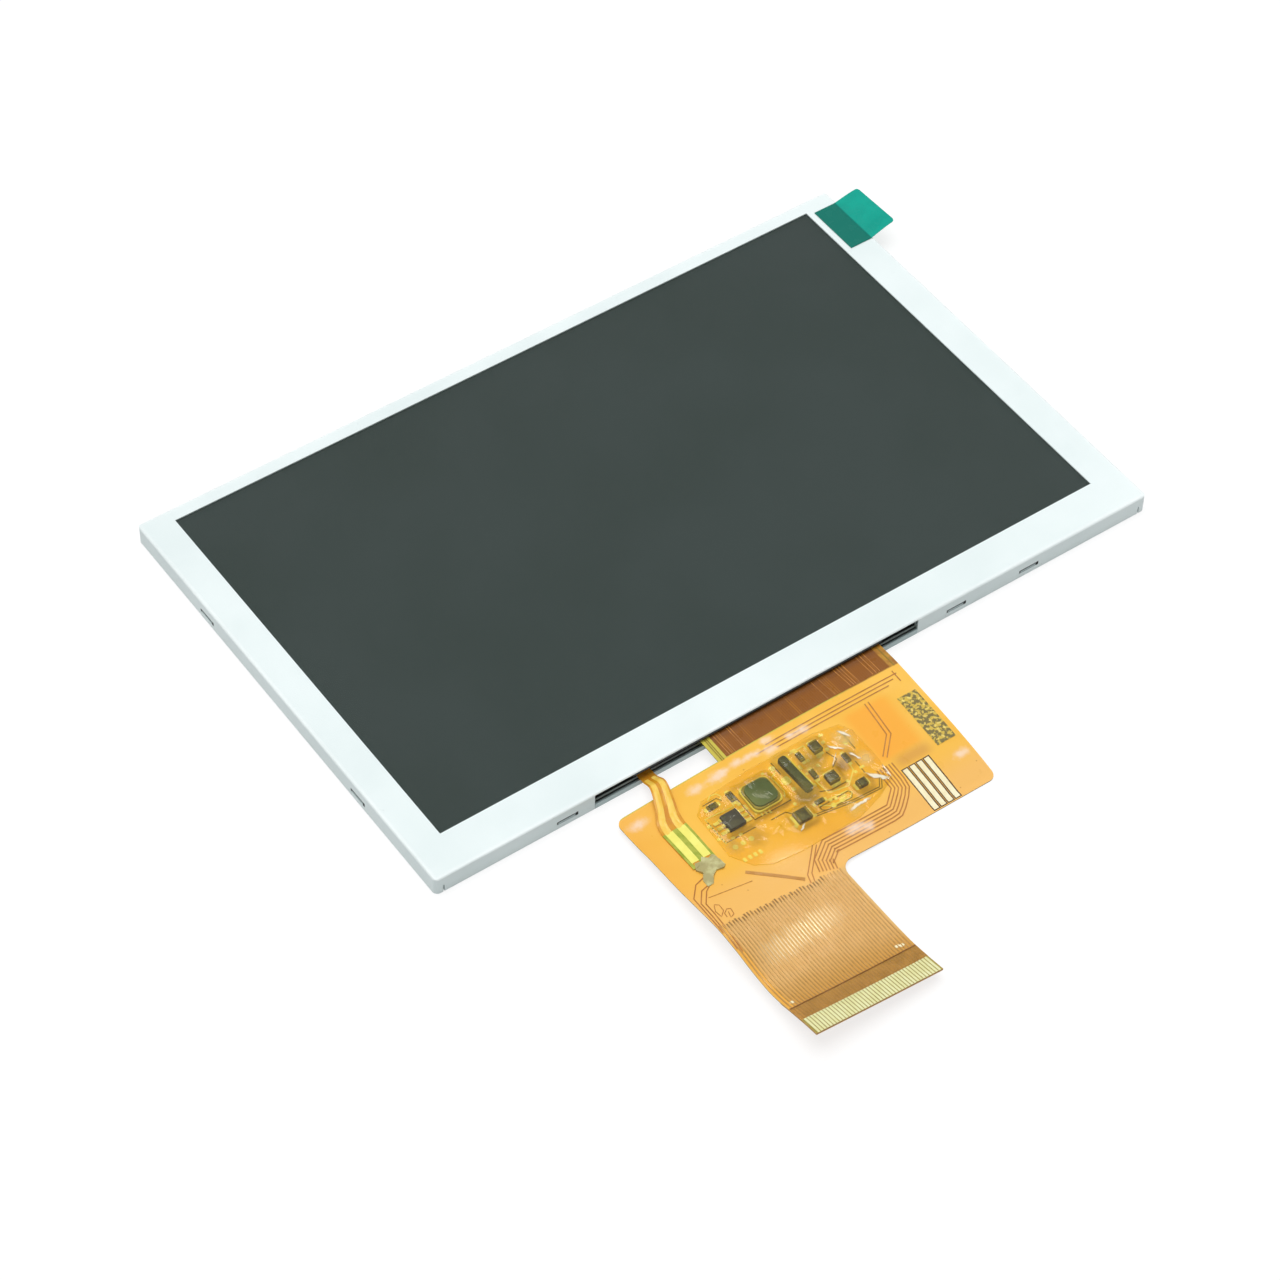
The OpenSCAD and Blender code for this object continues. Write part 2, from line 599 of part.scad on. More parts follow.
module marking_patch() color("darkkhaki")
  ribbon(run(flex_right - marking_inset - marking_w / 2, marking_out, marking_out + marking_len),
    marking_w, track_t);
module test_pads() color("gold")
  for (p = test_places) seat(p.x, p.y, seat_gap) cylinder(r = test_r, h = track_t);

// Parts soldered to the circuit
module power_inductor() color("darkslategray") seat(inductor_place.x, inductor_place.y, seat_gap)
  linear_extrude(inductor_h) rounded([inductor_w, inductor_w] / 2, inductor_r);
module boost_chip() color("midnightblue")
  seat(chip_place.x, chip_place.y, seat_gap + lead_t) block([chip_w, chip_w, chip_h]);
module chip_leads() color("gold") seat(chip_place.x, chip_place.y, seat_gap)
  for (s = [-1, 1], k = [0 : chip_leads_per_side - 1])
    translate([s * (chip_w + lead_len) / 2, (k - (chip_leads_per_side - 1) / 2) * lead_pitch, 0]) {
      block([lead_len, lead_w, lead_t]);
      translate([s * (skin_gap + lead_t / 2 - lead_len / 2), 0, 0]) block([lead_t, lead_w, chip_h / 2]);
    }
module slim_diode() color("dimgray") seat(diode_place.x, diode_place.y, seat_gap) rotate(diode_turn)
  block([diode_w, diode_len, diode_h]);
module ceramic_capacitors() color("tan")
  for (c = capacitor_places) seat(c[0], c[1], seat_gap) block([c[2], c[3], capacitor_h]);
module chip_resistors() color("darkolivegreen")
  for (c = resistor_places) seat(c[0], c[1], seat_gap) block([c[2], c[3], resistor_h]);
// The amber tape falls off round each part that it covers
function cover_rise(x, out) = max([for (p = covered) let (
  beside = max(abs(x - p[0]) - p[2], abs(out - p[1]) - p[3], 0),
  edge_room = min(x - cover_left, cover_right - x, out - cover_out, cover_low - out) / cover_cell)
  (p[4] + seat_gap + cover_gap) * max(0, min(1, 2 - beside / cover_cell, edge_room))]);
module component_tape() color([0.9, 0.7, 0.2, 0.5])
  sheet(lattice(cover_left, cover_right, cover_cell), lattice(cover_out, cover_low, cover_cell), cover_t,
    function (x, out) flex_top(x, out) + 3 * skin_gap + track_t + cover_rise(x, out));

front_bezel();
rear_chassis();
mould_frame();
reflector_sheet();
light_guide_plate();
backlight_leds();
led_flex();
diffuser_sheet();
lower_prism_sheet();
upper_prism_sheet();
rim_tape();
rear_polariser();
tft_glass();
colour_filter_glass();
front_polariser();
driver_ic();
protective_film();
pull_tab();
flex_circuit();
neck_traces();
body_traces();
tail_traces();
contact_fingers();
end_coverlay();
tail_stiffener();
touch_pads();
marking_patch();
test_pads();
backlight_pads();
solder_joint();
power_inductor();
boost_chip();
chip_leads();
slim_diode();
ceramic_capacitors();
chip_resistors();
component_tape();
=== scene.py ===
"""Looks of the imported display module: finishes for its steel, glass and films, and a smooth flexible circuit
with its tracks, pads, parts and tape in place of the faceted solids. Lengths are in millimetres until a mesh
is written, and a place on the circuit is (x, out), out being the distance from the panel's lower edge."""

from functools import cached_property, partialmethod, reduce
from math import atan, ceil, cos, dist, floor, pi, radians, sin, sqrt
from random import Random

import bmesh
import bpy
import numpy as np
from mathutils import Matrix, Vector


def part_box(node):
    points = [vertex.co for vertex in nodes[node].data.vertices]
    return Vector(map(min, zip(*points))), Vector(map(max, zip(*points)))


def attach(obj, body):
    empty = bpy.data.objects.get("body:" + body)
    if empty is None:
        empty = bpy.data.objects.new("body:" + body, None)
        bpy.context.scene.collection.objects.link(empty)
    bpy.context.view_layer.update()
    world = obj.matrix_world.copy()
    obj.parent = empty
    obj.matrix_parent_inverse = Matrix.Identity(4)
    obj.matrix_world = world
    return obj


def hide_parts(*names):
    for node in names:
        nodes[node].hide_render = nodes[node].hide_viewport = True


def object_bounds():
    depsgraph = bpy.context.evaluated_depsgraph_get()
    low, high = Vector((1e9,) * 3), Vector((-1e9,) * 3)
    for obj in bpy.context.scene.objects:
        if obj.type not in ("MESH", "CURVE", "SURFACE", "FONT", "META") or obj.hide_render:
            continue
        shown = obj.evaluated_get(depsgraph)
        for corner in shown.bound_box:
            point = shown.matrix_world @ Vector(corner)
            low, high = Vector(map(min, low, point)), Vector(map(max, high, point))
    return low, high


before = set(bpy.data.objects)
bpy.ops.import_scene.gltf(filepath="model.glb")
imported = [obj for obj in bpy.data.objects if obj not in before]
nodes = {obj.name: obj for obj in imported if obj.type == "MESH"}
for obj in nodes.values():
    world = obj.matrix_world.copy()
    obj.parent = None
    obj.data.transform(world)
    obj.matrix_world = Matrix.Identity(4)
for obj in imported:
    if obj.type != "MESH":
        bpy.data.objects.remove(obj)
cad_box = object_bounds()
MM = 0.001


def node_box(name):
    low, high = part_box(name)
    return low / MM, high / MM


BEZEL_LOW, BEZEL_HIGH = node_box("front_bezel")
LOWER_EDGE = BEZEL_LOW.y
LEDGE_Z = node_box("tft_glass")[1].z

# ---- shape of the flexible circuit
FLEX_T = 0.15
FLEX_LEFT, FLEX_RIGHT = -34.6, 12.5
NECK_LEFT, NECK_LEN = -17.8, 4.1
BODY_OUT, TAIL_OUT = 26.2, 48.1
BODY_W, TAIL_W = FLEX_RIGHT - FLEX_LEFT, 20.5
TAIL_RIGHT = FLEX_LEFT + TAIL_W
BOND_OUT = -3.05
BODY_R, TAIL_R = 1.2, 2.0
SKIN = 0.03  # thickness of the cover film, over which the tracks and lands stand
# Height of the circuit's underside along its left edge, over the tail's right edge, and along its right edge
LEFT_LINE = [(0, LEDGE_Z), (4, 1), (9, 1.1), (12, 1.5), (18, 1.9), (22, 2.4), (27, 3), (31, 2.8), (35, 2.2),
    (38.5, 2.05), (41, 2.5), (43, 3.1), (46, 3.9), (48, 4.3)]
MIDDLE_LINE = [(0, LEDGE_Z), (4, 2.1), (10, 1.9), (16, 1.4), (22, 0.95), (27, 0.6), (33, 0.55), (39, 0.65),
    (42, 0.85), (45, 1.4), (48, 2.1)]
RIGHT_LINE = [(0, LEDGE_Z), (4, 2.2), (10, 1.85), (16, 1.4), (20, 0.95), (23, 0.5), (26, 0), (48, 0)]


def slope(line, i):
    if i == 0:
        return 0.0
    after = min(i + 1, len(line) - 1)
    return (line[after][1] - line[i - 1][1]) / (line[after][0] - line[i - 1][0])


def along(line, out):
    """Smooth height along a line: level before its first point, straight on after its last."""
    if out <= line[0][0]:
        return line[0][1]
    if out >= line[-1][0]:
        return line[-1][1] + slope(line, len(line) - 1) * (out - line[-1][0])
    i = next(k for k in range(len(line) - 1) if out < line[k + 1][0])
    step = line[i + 1][0] - line[i][0]
    u = (out - line[i][0]) / step
    ends = (1 + 2 * u) * (1 - u) ** 2 * line[i][1] + u * u * (3 - 2 * u) * line[i + 1][1]
    return ends + step * (u * (1 - u) ** 2 * slope(line, i) - u * u * (1 - u) * slope(line, i + 1))


def flex_z(x, out):
    """Height of the circuit's underside: a parabola across the three lines, never under the floor."""
    t, m = (x - FLEX_LEFT) / BODY_W, TAIL_W / BODY_W
    return max(0.0, along(LEFT_LINE, out) * (1 - t) * (m - t) / m
               + along(MIDDLE_LINE, out) * t * (1 - t) / (m * (1 - m))
               + along(RIGHT_LINE, out) * t * (t - m) / (1 - m))


def flex_top(x, out):
    return flex_z(x, out) + FLEX_T


def over(lift):
    """Height function at a lift over the circuit's upper face."""
    return lambda x, out: flex_top(x, out) + lift


def level(z):
    return lambda x, out: z


def arc(x, out, radius, start, end, count=6):
    """Points of an arc about (x, out), its angles in degrees."""
    angles = [radians(start + (end - start) * k / count) for k in range(count + 1)]
    return [(x + radius * cos(a), out + radius * sin(a)) for a in angles]


def rectangle(x0, x1, out0, out1):
    return [(x0, out0), (x1, out0), (x1, out1), (x0, out1)]


def tail_end(out0, out1):
    """Outline across the tail, just inside its edges."""
    return rectangle(FLEX_LEFT + SKIN, TAIL_RIGHT - SKIN, out0, out1)


FLEX_OUTLINE = (
    [(NECK_LEFT, BOND_OUT), (FLEX_RIGHT, BOND_OUT)]
    + arc(FLEX_RIGHT - BODY_R, BODY_OUT - BODY_R, BODY_R, 0, 90)
    + arc(TAIL_RIGHT + TAIL_R, BODY_OUT + TAIL_R, TAIL_R, 270, 180)
    + [(TAIL_RIGHT, TAIL_OUT), (FLEX_LEFT, TAIL_OUT)]
    + arc(FLEX_LEFT + BODY_R, NECK_LEN + BODY_R, BODY_R, 180, 270)
    + [(NECK_LEFT, NECK_LEN)]
)

# ---- mesh building
SIDE, UNDER = 1, 2  # material indices of a sheet's cut edges and of its underside


def at(x, out, z):
    return Vector((x, LOWER_EDGE - out, z)) * MM


def sheet(bm, outline, lower, upper, step=0.6):
    """Closed sheet over an outline of (x, out), cut to a lattice so that it follows both height functions."""
    flat = bmesh.new()
    flat.faces.new([flat.verts.new((x, out, 0)) for x, out in outline])
    bmesh.ops.triangulate(flat, faces=flat.faces[:])
    for axis in (0, 1):
        normal = Vector((1 - axis, axis, 0))
        places = [p[axis] for p in outline]
        for k in range(floor(min(places) / step) + 1, ceil(max(places) / step)):
            whole = flat.verts[:] + flat.edges[:] + flat.faces[:]
            bmesh.ops.bisect_plane(flat, geom=whole, dist=1e-5, plane_co=normal * (k * step), plane_no=normal)
    tops, lows = ({v: bm.verts.new(at(v.co.x, v.co.y, height(v.co.x, v.co.y))) for v in flat.verts}
                  for height in (upper, lower))
    for f in flat.faces:
        bm.faces.new([tops[v] for v in f.verts])
        bm.faces.new([lows[v] for v in reversed(f.verts)]).material_index = UNDER
    for e in flat.edges:
        if e.is_boundary:
            a, b = e.verts
            bm.faces.new([tops[a], tops[b], lows[b], lows[a]]).material_index = SIDE
    flat.free()


def tube(bm, rings):
    """Closed tube through rings of as many points, capped at both ends."""
    rows = [[bm.verts.new(p) for p in ring] for ring in rings]
    count = len(rows[0])
    for near, far in zip(rows, rows[1:]):
        for i in range(count):
            j = (i + 1) % count
            bm.faces.new([near[i], near[j], far[j], far[i]])
    bm.faces.new(rows[0][::-1])
    bm.faces.new(rows[-1])


def fine(path, step=0.5):
    """Points along a path of (x, out), no further apart than a step."""
    points = []
    for a, b in zip(path, path[1:]):
        count = max(1, ceil(dist(a, b) / step))
        points += [(a[0] + (b[0] - a[0]) * k / count, a[1] + (b[1] - a[1]) * k / count) for k in range(count)]
    return points + [path[-1]]


def beside(path, offset):
    """The path moved sideways, to its right where the offset is positive."""
    moved = []
    for i, (x, out) in enumerate(path):
        a, b = path[max(i - 1, 0)], path[min(i + 1, len(path) - 1)]
        length = dist(a, b)
        moved.append((x + (b[1] - a[1]) / length * offset, out + (a[0] - b[0]) / length * offset))
    return moved


def track(bm, path, w, t=0.02, lift=SKIN, step=0.5):
    """Flat conductor of one width along a path on the circuit's upper face."""
    points = fine(path, step)
    rings = []
    for a, b in zip(beside(points, -w / 2), beside(points, w / 2)):
        low = [at(*p, flex_top(*p) + lift) for p in (a, b)]
        rings.append(low + [p + Vector((0, 0, t * MM)) for p in reversed(low)])
    tube(bm, rings)


def seat(x, out, lift=0.06, turn=0.0):
    """Frame of a flat part on the circuit, tilted as the film is there."""
    reach = 1.0
    pitch = atan((flex_z(x, out - reach) - flex_z(x, out + reach)) / (2 * reach))
    roll = atan((flex_z(x + reach, out) - flex_z(x - reach, out)) / (2 * reach))
    turned = Matrix.Rotation(-roll, 4, "Y") @ Matrix.Rotation(pitch, 4, "X") @ Matrix.Rotation(turn, 4, "Z")
    return Matrix.Translation(at(x, out, flex_top(x, out) + lift)) @ turned


def block(bm, place, w, d, h, radius=0.15, bevel=0.06, z=0.0, centre=(0, 0)):
    """Block with rounded upright corners and a bevelled top, in a part's frame; its base is at height z."""
    def ring(inset, height):
        r = max(radius - inset, 0.01)
        points = []
        for sx, sy, start in ((1, 1, 0), (-1, 1, 90), (-1, -1, 180), (1, -1, 270)):
            cx, cy = sx * (w / 2 - inset - r) + centre[0], sy * (d / 2 - inset - r) + centre[1]
            points += arc(cx, cy, r, start, start + 90, 4)
        return [place @ (Vector((px, py, height)) * MM) for px, py in points]

    top = z + h
    tube(bm, [ring(0, z), ring(0, top - bevel), ring(bevel * 0.3, top - bevel * 0.3), ring(bevel, top)])


def land(x, out, w, d, corner, lift=SKIN, turn=0.0):
    """Call for a thin bare land."""
    return block, seat(x, out, lift, turn), w, d, 0.03, corner, 0.01


def put(name, data):
    obj = bpy.data.objects.new(name, data)
    bpy.context.scene.collection.objects.link(obj)
    return obj


def add_piece(name, mesh, stands_for, crease):
    """Smooth-shaded piece that rides on the module, its edges sharp above crease degrees."""
    mesh.shade_smooth()
    mesh.set_sharp_from_angle(angle=radians(crease))
    obj = put(name, mesh)
    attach(obj, "root")
    if stands_for:
        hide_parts(stands_for)
    return obj


def piece(name, look, stands_for, calls, side_look=None, under_look=None):
    """Piece of the module with what each call adds: a function of the mesh, and its other arguments.
    A sheet's cut edges and underside may have looks of their own."""
    bm = bmesh.new()
    for add, *arguments in calls:
        add(bm, *arguments)
    bmesh.ops.recalc_face_normals(bm, faces=bm.faces[:])
    mesh = bpy.data.meshes.new(name)
    bm.to_mesh(mesh)
    bm.free()
    for one in (look, side_look or look, under_look or look):
        mesh.materials.append(one)
    add_piece(name, mesh, stands_for, 35)


def soften_folds(node, look):
    """Shows a folded steel part with its flats kept flat in the shading, and only its bends round."""
    mesh = nodes[node].data.copy()
    mesh.name = name = node + "_sheet_steel"
    mesh.attributes.remove(mesh.attributes["custom_normal"])
    merged = bmesh.new()
    merged.from_mesh(mesh)
    bmesh.ops.remove_doubles(merged, verts=merged.verts[:], dist=1e-7)
    merged.to_mesh(mesh)
    merged.free()
    mesh.materials.clear()
    mesh.materials.append(look)
    weighted = add_piece(name, mesh, node, 20).modifiers.new("flats", "WEIGHTED_NORMAL")
    weighted.keep_sharp = True
    weighted.weight = 100


# ---- material nodes
def rgb(colour):
    """Linear value of a screen colour such as "#ffd080"; any other value stays as it is."""
    if not isinstance(colour, str):
        return colour
    return tuple(c / 255 / 12.92 if c <= 10 else ((c / 255 + 0.055) / 1.055) ** 2.4
                 for c in bytes.fromhex(colour[1:])) + (1.0,)


class Tree:
    """A node tree, with short calls for its nodes. A value is a number, a colour or a node's output."""

    def __init__(self, tree):
        self.nodes, self.links = tree.nodes, tree.links

    def join(self, value, socket):
        if isinstance(value, bpy.types.NodeSocket):
            self.links.new(value, socket)
        else:
            socket.default_value = rgb(value)

    def node(self, kind, *values, **named):
        """Adds a node, with values on its first inputs and on named ones."""
        node = self.nodes.new("ShaderNode" + kind)
        for value, socket in zip(values, node.inputs):
            self.join(value, socket)
        for name, value in named.items():
            self.join(value, node.inputs[name])
        return node

    def maths(self, operation, a, b=0.0):
        node = self.node("Math", a, b)
        node.operation = operation
        return node.outputs[0]

    plus = partialmethod(maths, "ADD")
    minus = partialmethod(maths, "SUBTRACT")
    times = partialmethod(maths, "MULTIPLY")
    most = partialmethod(maths, "MAXIMUM")

    def between(self, share, a, b):
        """Shader mixed from two others."""
        return self.node("MixShader", share, a, b).outputs[0]

    def for_camera(self, seen, otherwise):
        """One shader for the camera, reflections and glass, and another for everything else."""
        path = self.node("LightPath").outputs
        share = path["Is Camera Ray"]
        for ray in ("Is Glossy Ray", "Is Transmission Ray"):
            share = self.most(share, path[ray])
        return self.between(share, otherwise, seen)


class Look(Tree):
    """A Principled material."""

    def __init__(self, name, colour, roughness, metallic=0.0, specular=0.5):
        self.material = bpy.data.materials.new(name)
        self.material.use_nodes = True
        self.material.diffuse_color = rgb(colour)
        super().__init__(self.material.node_tree)
        self.bsdf = self.nodes["Principled BSDF"]
        self.paint(colour)
        self.set("Roughness", roughness)
        self.set("Metallic", metallic)
        self.set("Specular IOR Level", specular)

    def set(self, socket, value):
        self.join(value, self.bsdf.inputs[socket])

    def paint(self, colour):
        self.set("Base Color", colour)

    def show(self, shader):
        """Puts a shader in place of the Principled one."""
        self.join(shader, self.nodes["Material Output"].inputs["Surface"])

    @cached_property
    def place(self):
        """The point in the part's frame, in metres."""
        return self.node("TexCoord").outputs["Object"]

    def axis(self, letter):
        """One coordinate in millimetres."""
        return self.times(self.node("SeparateXYZ", self.place).outputs[letter], 1 / MM)

    def out(self):
        """Distance from the panel's lower edge in millimetres."""
        return self.minus(LOWER_EDGE, self.axis("Y"))

    def ramp(self, value, low, high, start=0.0, end=1.0):
        """Smooth step from start at low to end at high."""
        node = self.node("MapRange", value, low, high, start, end)
        node.interpolation_type = "SMOOTHSTEP"
        return node.outputs[0]

    def band(self, value, low, high, soft=0.2):
        """1 between low and high, 0 outside."""
        rise = self.ramp(value, low - soft, low + soft)
        return self.times(rise, self.ramp(value, high - soft, high + soft, 1.0, 0.0))

    def mix(self, share, a, b, kind="MIX"):
        node = self.node("Mix")
        node.data_type = "RGBA"
        node.blend_type = kind
        for value, k in ((share, 0), (a, 6), (b, 7)):
            self.join(value, node.inputs[k])
        return node.outputs[2]

    def noise(self, size, detail=3.0, stretch=(1, 1, 1), rough=0.5):
        """Fractal noise whose blobs are about size millimetres."""
        spot = self.node("Mapping", Vector=self.place, Scale=stretch).outputs[0]
        scale = 1 / (size * MM)
        return self.node("TexNoise", Vector=spot, Scale=scale, Detail=detail, Roughness=rough).outputs["Fac"]

    def specks(self, size, amount):
        """Round specks on a lattice of size millimetres; amount is their radius as a share of it."""
        cells = self.node("TexVoronoi", Vector=self.place, Scale=1 / (size * MM))
        return self.ramp(cells.outputs["Distance"], amount * 0.6, amount, 1.0, 0.0)

    def bump(self, height, distance):
        """Relief whose full height is distance millimetres."""
        self.set("Normal", self.node("Bump", Distance=distance * MM, Height=height).outputs[0])

    def grain(self, size, relief, detail=3.0):
        self.bump(self.noise(size, detail), relief)

    def gloss(self, size, low, high, detail=3.0):
        """Roughness that drifts between two values in patches."""
        self.set("Roughness", self.ramp(self.noise(size, detail), 0.3, 0.7, low, high))

    def creased(self, lines):
        """1 along each line from (x, out) to (x, out), fading at its ragged sides and towards its ends."""
        x, out = self.axis("X"), self.out()
        rag = self.times(self.minus(self.noise(0.9), 0.5), 0.7)
        marks = []
        for (x0, out0), (x1, out1), width in lines:
            length = dist((x0, out0), (x1, out1))
            ux, uo = (x1 - x0) / length, (out1 - out0) / length
            dx, do = self.minus(x, x0), self.minus(out, out0)
            lengthwise = self.plus(self.times(dx, ux), self.times(do, uo))
            across = self.minus(self.times(do, ux), self.times(dx, uo))
            side = self.ramp(self.maths("ABSOLUTE", self.plus(across, rag)), 0.3 * width, width, 1.0, 0.0)
            fade = 0.15 * length
            marks.append(self.times(side, self.band(lengthwise, fade, 0.85 * length, fade)))
        return reduce(self.most, marks)

    def spot(self, x, out, radius, strength, flat=1.0, rag=0.5):
        """Ragged patch that fades from strength at (x, out) to nothing at about radius."""
        across = self.maths("POWER", self.minus(self.axis("X"), x), 2.0)
        down = self.maths("POWER", self.times(self.minus(self.out(), out), flat), 2.0)
        uneven = self.times(self.minus(self.noise(0.8), 0.3), rag * radius)
        far = self.plus(self.maths("SQRT", self.plus(across, down)), uneven)
        return self.ramp(far, 0.1 * radius, 1.2 * radius, strength, 0.0)

    def vary(self, colour, other, size, detail=3.0):
        """Colour that drifts to another one in patches."""
        return self.mix(self.ramp(self.noise(size, detail), 0.35, 0.65), colour, other)


# ---- finishes
SHEEN = 0.3  # specular level of the circuit's films


def steel(name, colour, metallic, roughness, brushed):
    """Rolled sheet steel: long faint streaks along x, mottled plating, dull specks and painted shade on the
    side walls.
    """
    look = Look(name, colour, roughness, metallic)
    streaks = look.noise(brushed, 5, (0.04, 1, 1), 0.6)
    dark = look.mix(1.0, colour, "#e2e8e8", "MULTIPLY")
    shade = look.mix(look.ramp(look.noise(14), 0.3, 0.75, 0.0, 0.35), colour, dark)
    # Painted shade: the side walls, below the top face, are darker than the top.
    wall = look.mix(1.0, shade, "#dee6e6", "MULTIPLY")
    shade = look.mix(look.ramp(look.axis("Z"), 2.85, 2.7, 0, 0.6), shade, wall)
    look.paint(look.mix(look.times(look.specks(2.3, 0.05), 0.35), shade, "#96a0a0"))
    look.set("Roughness", look.ramp(streaks, 0.3, 0.7, roughness - 0.06, roughness + 0.08))
    look.bump(streaks, 0.004)
    return look.material


def panel():
    """Anti-glare polariser: matte dark grey with a fine grain."""
    look = Look("panel_glare_coat", "#222c29", 0.5, specular=0.25)
    look.paint(look.vary("#222f2b", "#273330", 22))
    look.gloss(0.12, 0.46, 0.6, 2)
    look.grain(0.06, 0.0015, 2)
    return look.material


def glass(name, colour, alpha):
    look = Look(name, colour, 0.06)
    look.set("Alpha", alpha)
    look.set("IOR", 1.5)
    look.gloss(9, 0.03, 0.1)
    look.grain(5, 0.002, 2)
    return look.material


def patched(look, colour, other, size, gloss_size, low, high, relief_size, relief, detail=3.0):
    """Finishes a look with patches of two colours, uneven gloss and a fine relief."""
    look.paint(look.vary(colour, other, size, detail))
    look.gloss(gloss_size, low, high)
    look.grain(relief_size, relief)
    return look.material


def plastic(name, colour, other, roughness=0.55):
    """Moulded plastic with a fine spark-eroded grain."""
    look = Look(name, colour, roughness)
    return patched(look, colour, other, 3, 0.5, roughness - 0.08, roughness + 0.08, 0.15, 0.006, 4)


def film(name, colour, other, roughness=0.3, relief=0.01, size=2.0):
    """Opaque plastic film or plated land, with slow waves in its gloss."""
    look = Look(name, colour, roughness, specular=SHEEN)
    return patched(look, colour, other, size, size, roughness * 0.7, roughness * 1.4, size * 0.8, relief)


def ceramic(name, colour, other):
    return patched(Look(name, colour, 0.45), colour, other, 0.5, 0.2, 0.35, 0.55, 0.12, 0.004)


def tinned(name, colour, roughness):
    """Dull metal under lacquer, slightly uneven."""
    look = Look(name, colour, roughness, 0.1)
    tint = look.mix(1.0, colour, "#cdc8be", "MULTIPLY")
    return patched(look, colour, tint, 1.6, 0.8, roughness - 0.08, roughness + 0.1, 0.56, 0.006)


def frame_moulding():
    """Pale plastic, its upper faces painted black but for their outer edge, with a band of painted shade in
    the gap below.
    """
    look = Look("frame_moulding", "#b0bab8", 0.5)
    z = look.axis("Z")
    pale = look.vary("#c4ceca", "#b4c0bc", 3)
    # Upper faces are black but for their outer edge; the band from z 0.66 to 0.98 is painted shade in the gap
    # below.
    black_top = look.times(look.ramp(z, 1.02, 1.045), look.ramp(look.out(), -0.68, -0.74))
    dark = look.most(black_top, look.band(z, 0.66, 0.98, 0.03))
    look.paint(look.mix(dark, pale, "#161919"))
    look.gloss(0.5, 0.45, 0.6)
    look.grain(0.15, 0.006)
    return look.material


FLUX_SPOTS = [(-19.5, 6, 1.8), (-18.2, 5.8, 1.2), (-22.9, 6.1, 1.6), (-10.5, 4.9, 1.3), (-10.9, 6.5, 1.5),
    (-15.8, 5.7, 1.4), (-14.2, 5.8, 1.2), (-7.2, 6.1, 1.2), (-5.4, 6.2, 1.4), (-9, 22.7, 1.8),
    (-7.2, 23.3, 1.4), (10.6, 20.7, 1.5), (-32.4, 6.3, 1.8), (-12.9, 5.9, 1.1)]


def with_flux(look, shade, strength):
    """Lays pale smears of dried flux over a colour, near the joints along the upper edge and the bends."""
    for x, out, radius in FLUX_SPOTS:
        shade = look.mix(look.spot(x, out, 1.2 * radius, strength, 1.7, 0.9), shade, "#ffe8d6")
    return shade


def polyimide():
    """The circuit's film: light orange over solid copper, browner over the neck's and the tail's tracks."""
    look = Look("circuit_film", "#f7b458", 0.3, specular=0.28)
    x, out = look.axis("X"), look.out()
    copper = look.times(look.band(x, 0.4, 7.4, 1.1), look.band(out, 7.6, 16.4, 0.8))
    feed = look.times(look.band(x, 2.2, 7.6, 1.2), look.band(out, 16.6, 18.4, 0.8))
    bare = look.times(look.ramp(x, -33.9, -33.1, 1, 0), look.ramp(out, 26, 28))
    margin = look.mix(look.ramp(x, 0, 6), "#cec04a", look.vary("#be8c2c", "#a0681e", 1.2))
    shade = look.vary("#f9be42", "#fdc650", 9, 2)
    for share, colour in ((copper, "#fcb034"), (look.times(feed, 0.7), "#d69842"),
                          (look.ramp(x, -26, -34, 0, 0.5), "#f6b04c"),
                          (look.ramp(out, 18, 24), "#f8bf64"),
                          (look.ramp(out, 26.4, 27.6), "#e0b36a"),
                          (look.ramp(out, 37, 43), "#d09a42"), (bare, "#f0b44c"),
                          (look.ramp(out, 4.35, 4.15), margin),
                          (look.times(look.specks(2.6, 0.055), 0.55), "#be7828")):
        shade = look.mix(share, shade, colour)
    look.paint(with_flux(look, shade, 0.7))
    look.gloss(3, 0.26, 0.4, 4)
    look.grain(4, 0.015)
    return look.material


def covered_copper():
    """Tracks under the cover film, pale where flux has dried on them."""
    look = Look("covered_copper", "#b07030", 0.35, 0.1, specular=SHEEN)
    shade = look.vary("#b07032", "#be7e3e", 1.6)
    look.paint(with_flux(look, shade, 0.9))
    look.gloss(0.8, 0.28, 0.45)
    return look.material


def tail_copper():
    """The tail's tracks, with a painted highlight: they turn pale in a ragged glinting band across the tail.
    """
    look = Look("tail_copper", "#c49454", 0.25, 0.2, specular=SHEEN)
    x, out = look.axis("X"), look.out()
    slant = look.times(look.plus(x, 25.0), 0.12)
    ragged = look.times(look.minus(look.noise(1.2, 2, (1, 0.3, 0)), 0.5), 3.0)
    middle = look.plus(look.plus(out, slant), ragged)
    # Painted highlight: the tracks turn pale in a ragged, slanting band across the tail.
    pale = look.times(look.band(middle, 31.4, 34.4, 1.0), look.band(x, -31, -20, 2.5))
    plain = look.vary("#c49454", "#ba8a48", 2)
    look.paint(look.mix(look.times(pale, 0.8), plain, "#ffe8ba"))
    look.gloss(0.8, 0.2, 0.32)
    return look.material


def neck_film():
    """Cover film over the neck's fine tracks: brown, in bundles that show as slightly lighter lines, with
    painted shade of the bezel's lip along its top edge.
    """
    look = Look("neck_film", "#8c5424", 0.3, specular=0.25)
    lines = look.maths("SINE", look.times(look.axis("X"), 2 * pi / 0.34))
    bundles = look.noise(1.6, 2, (1, 0, 0))
    share = look.times(look.ramp(lines, -0.2, 0.9), look.ramp(bundles, 0.5, 0.68, 0.08, 0.75))
    shade = look.mix(share, "#8c520e", "#bc7a1e")
    # Painted shade of the bezel's lip: darker towards the neck's top edge.
    look.paint(look.mix(look.ramp(look.out(), 1.8, 0.2, 0, 0.45), shade, "#583a2c"))
    look.gloss(2, 0.24, 0.36)
    look.bump(lines, 0.004)
    return look.material


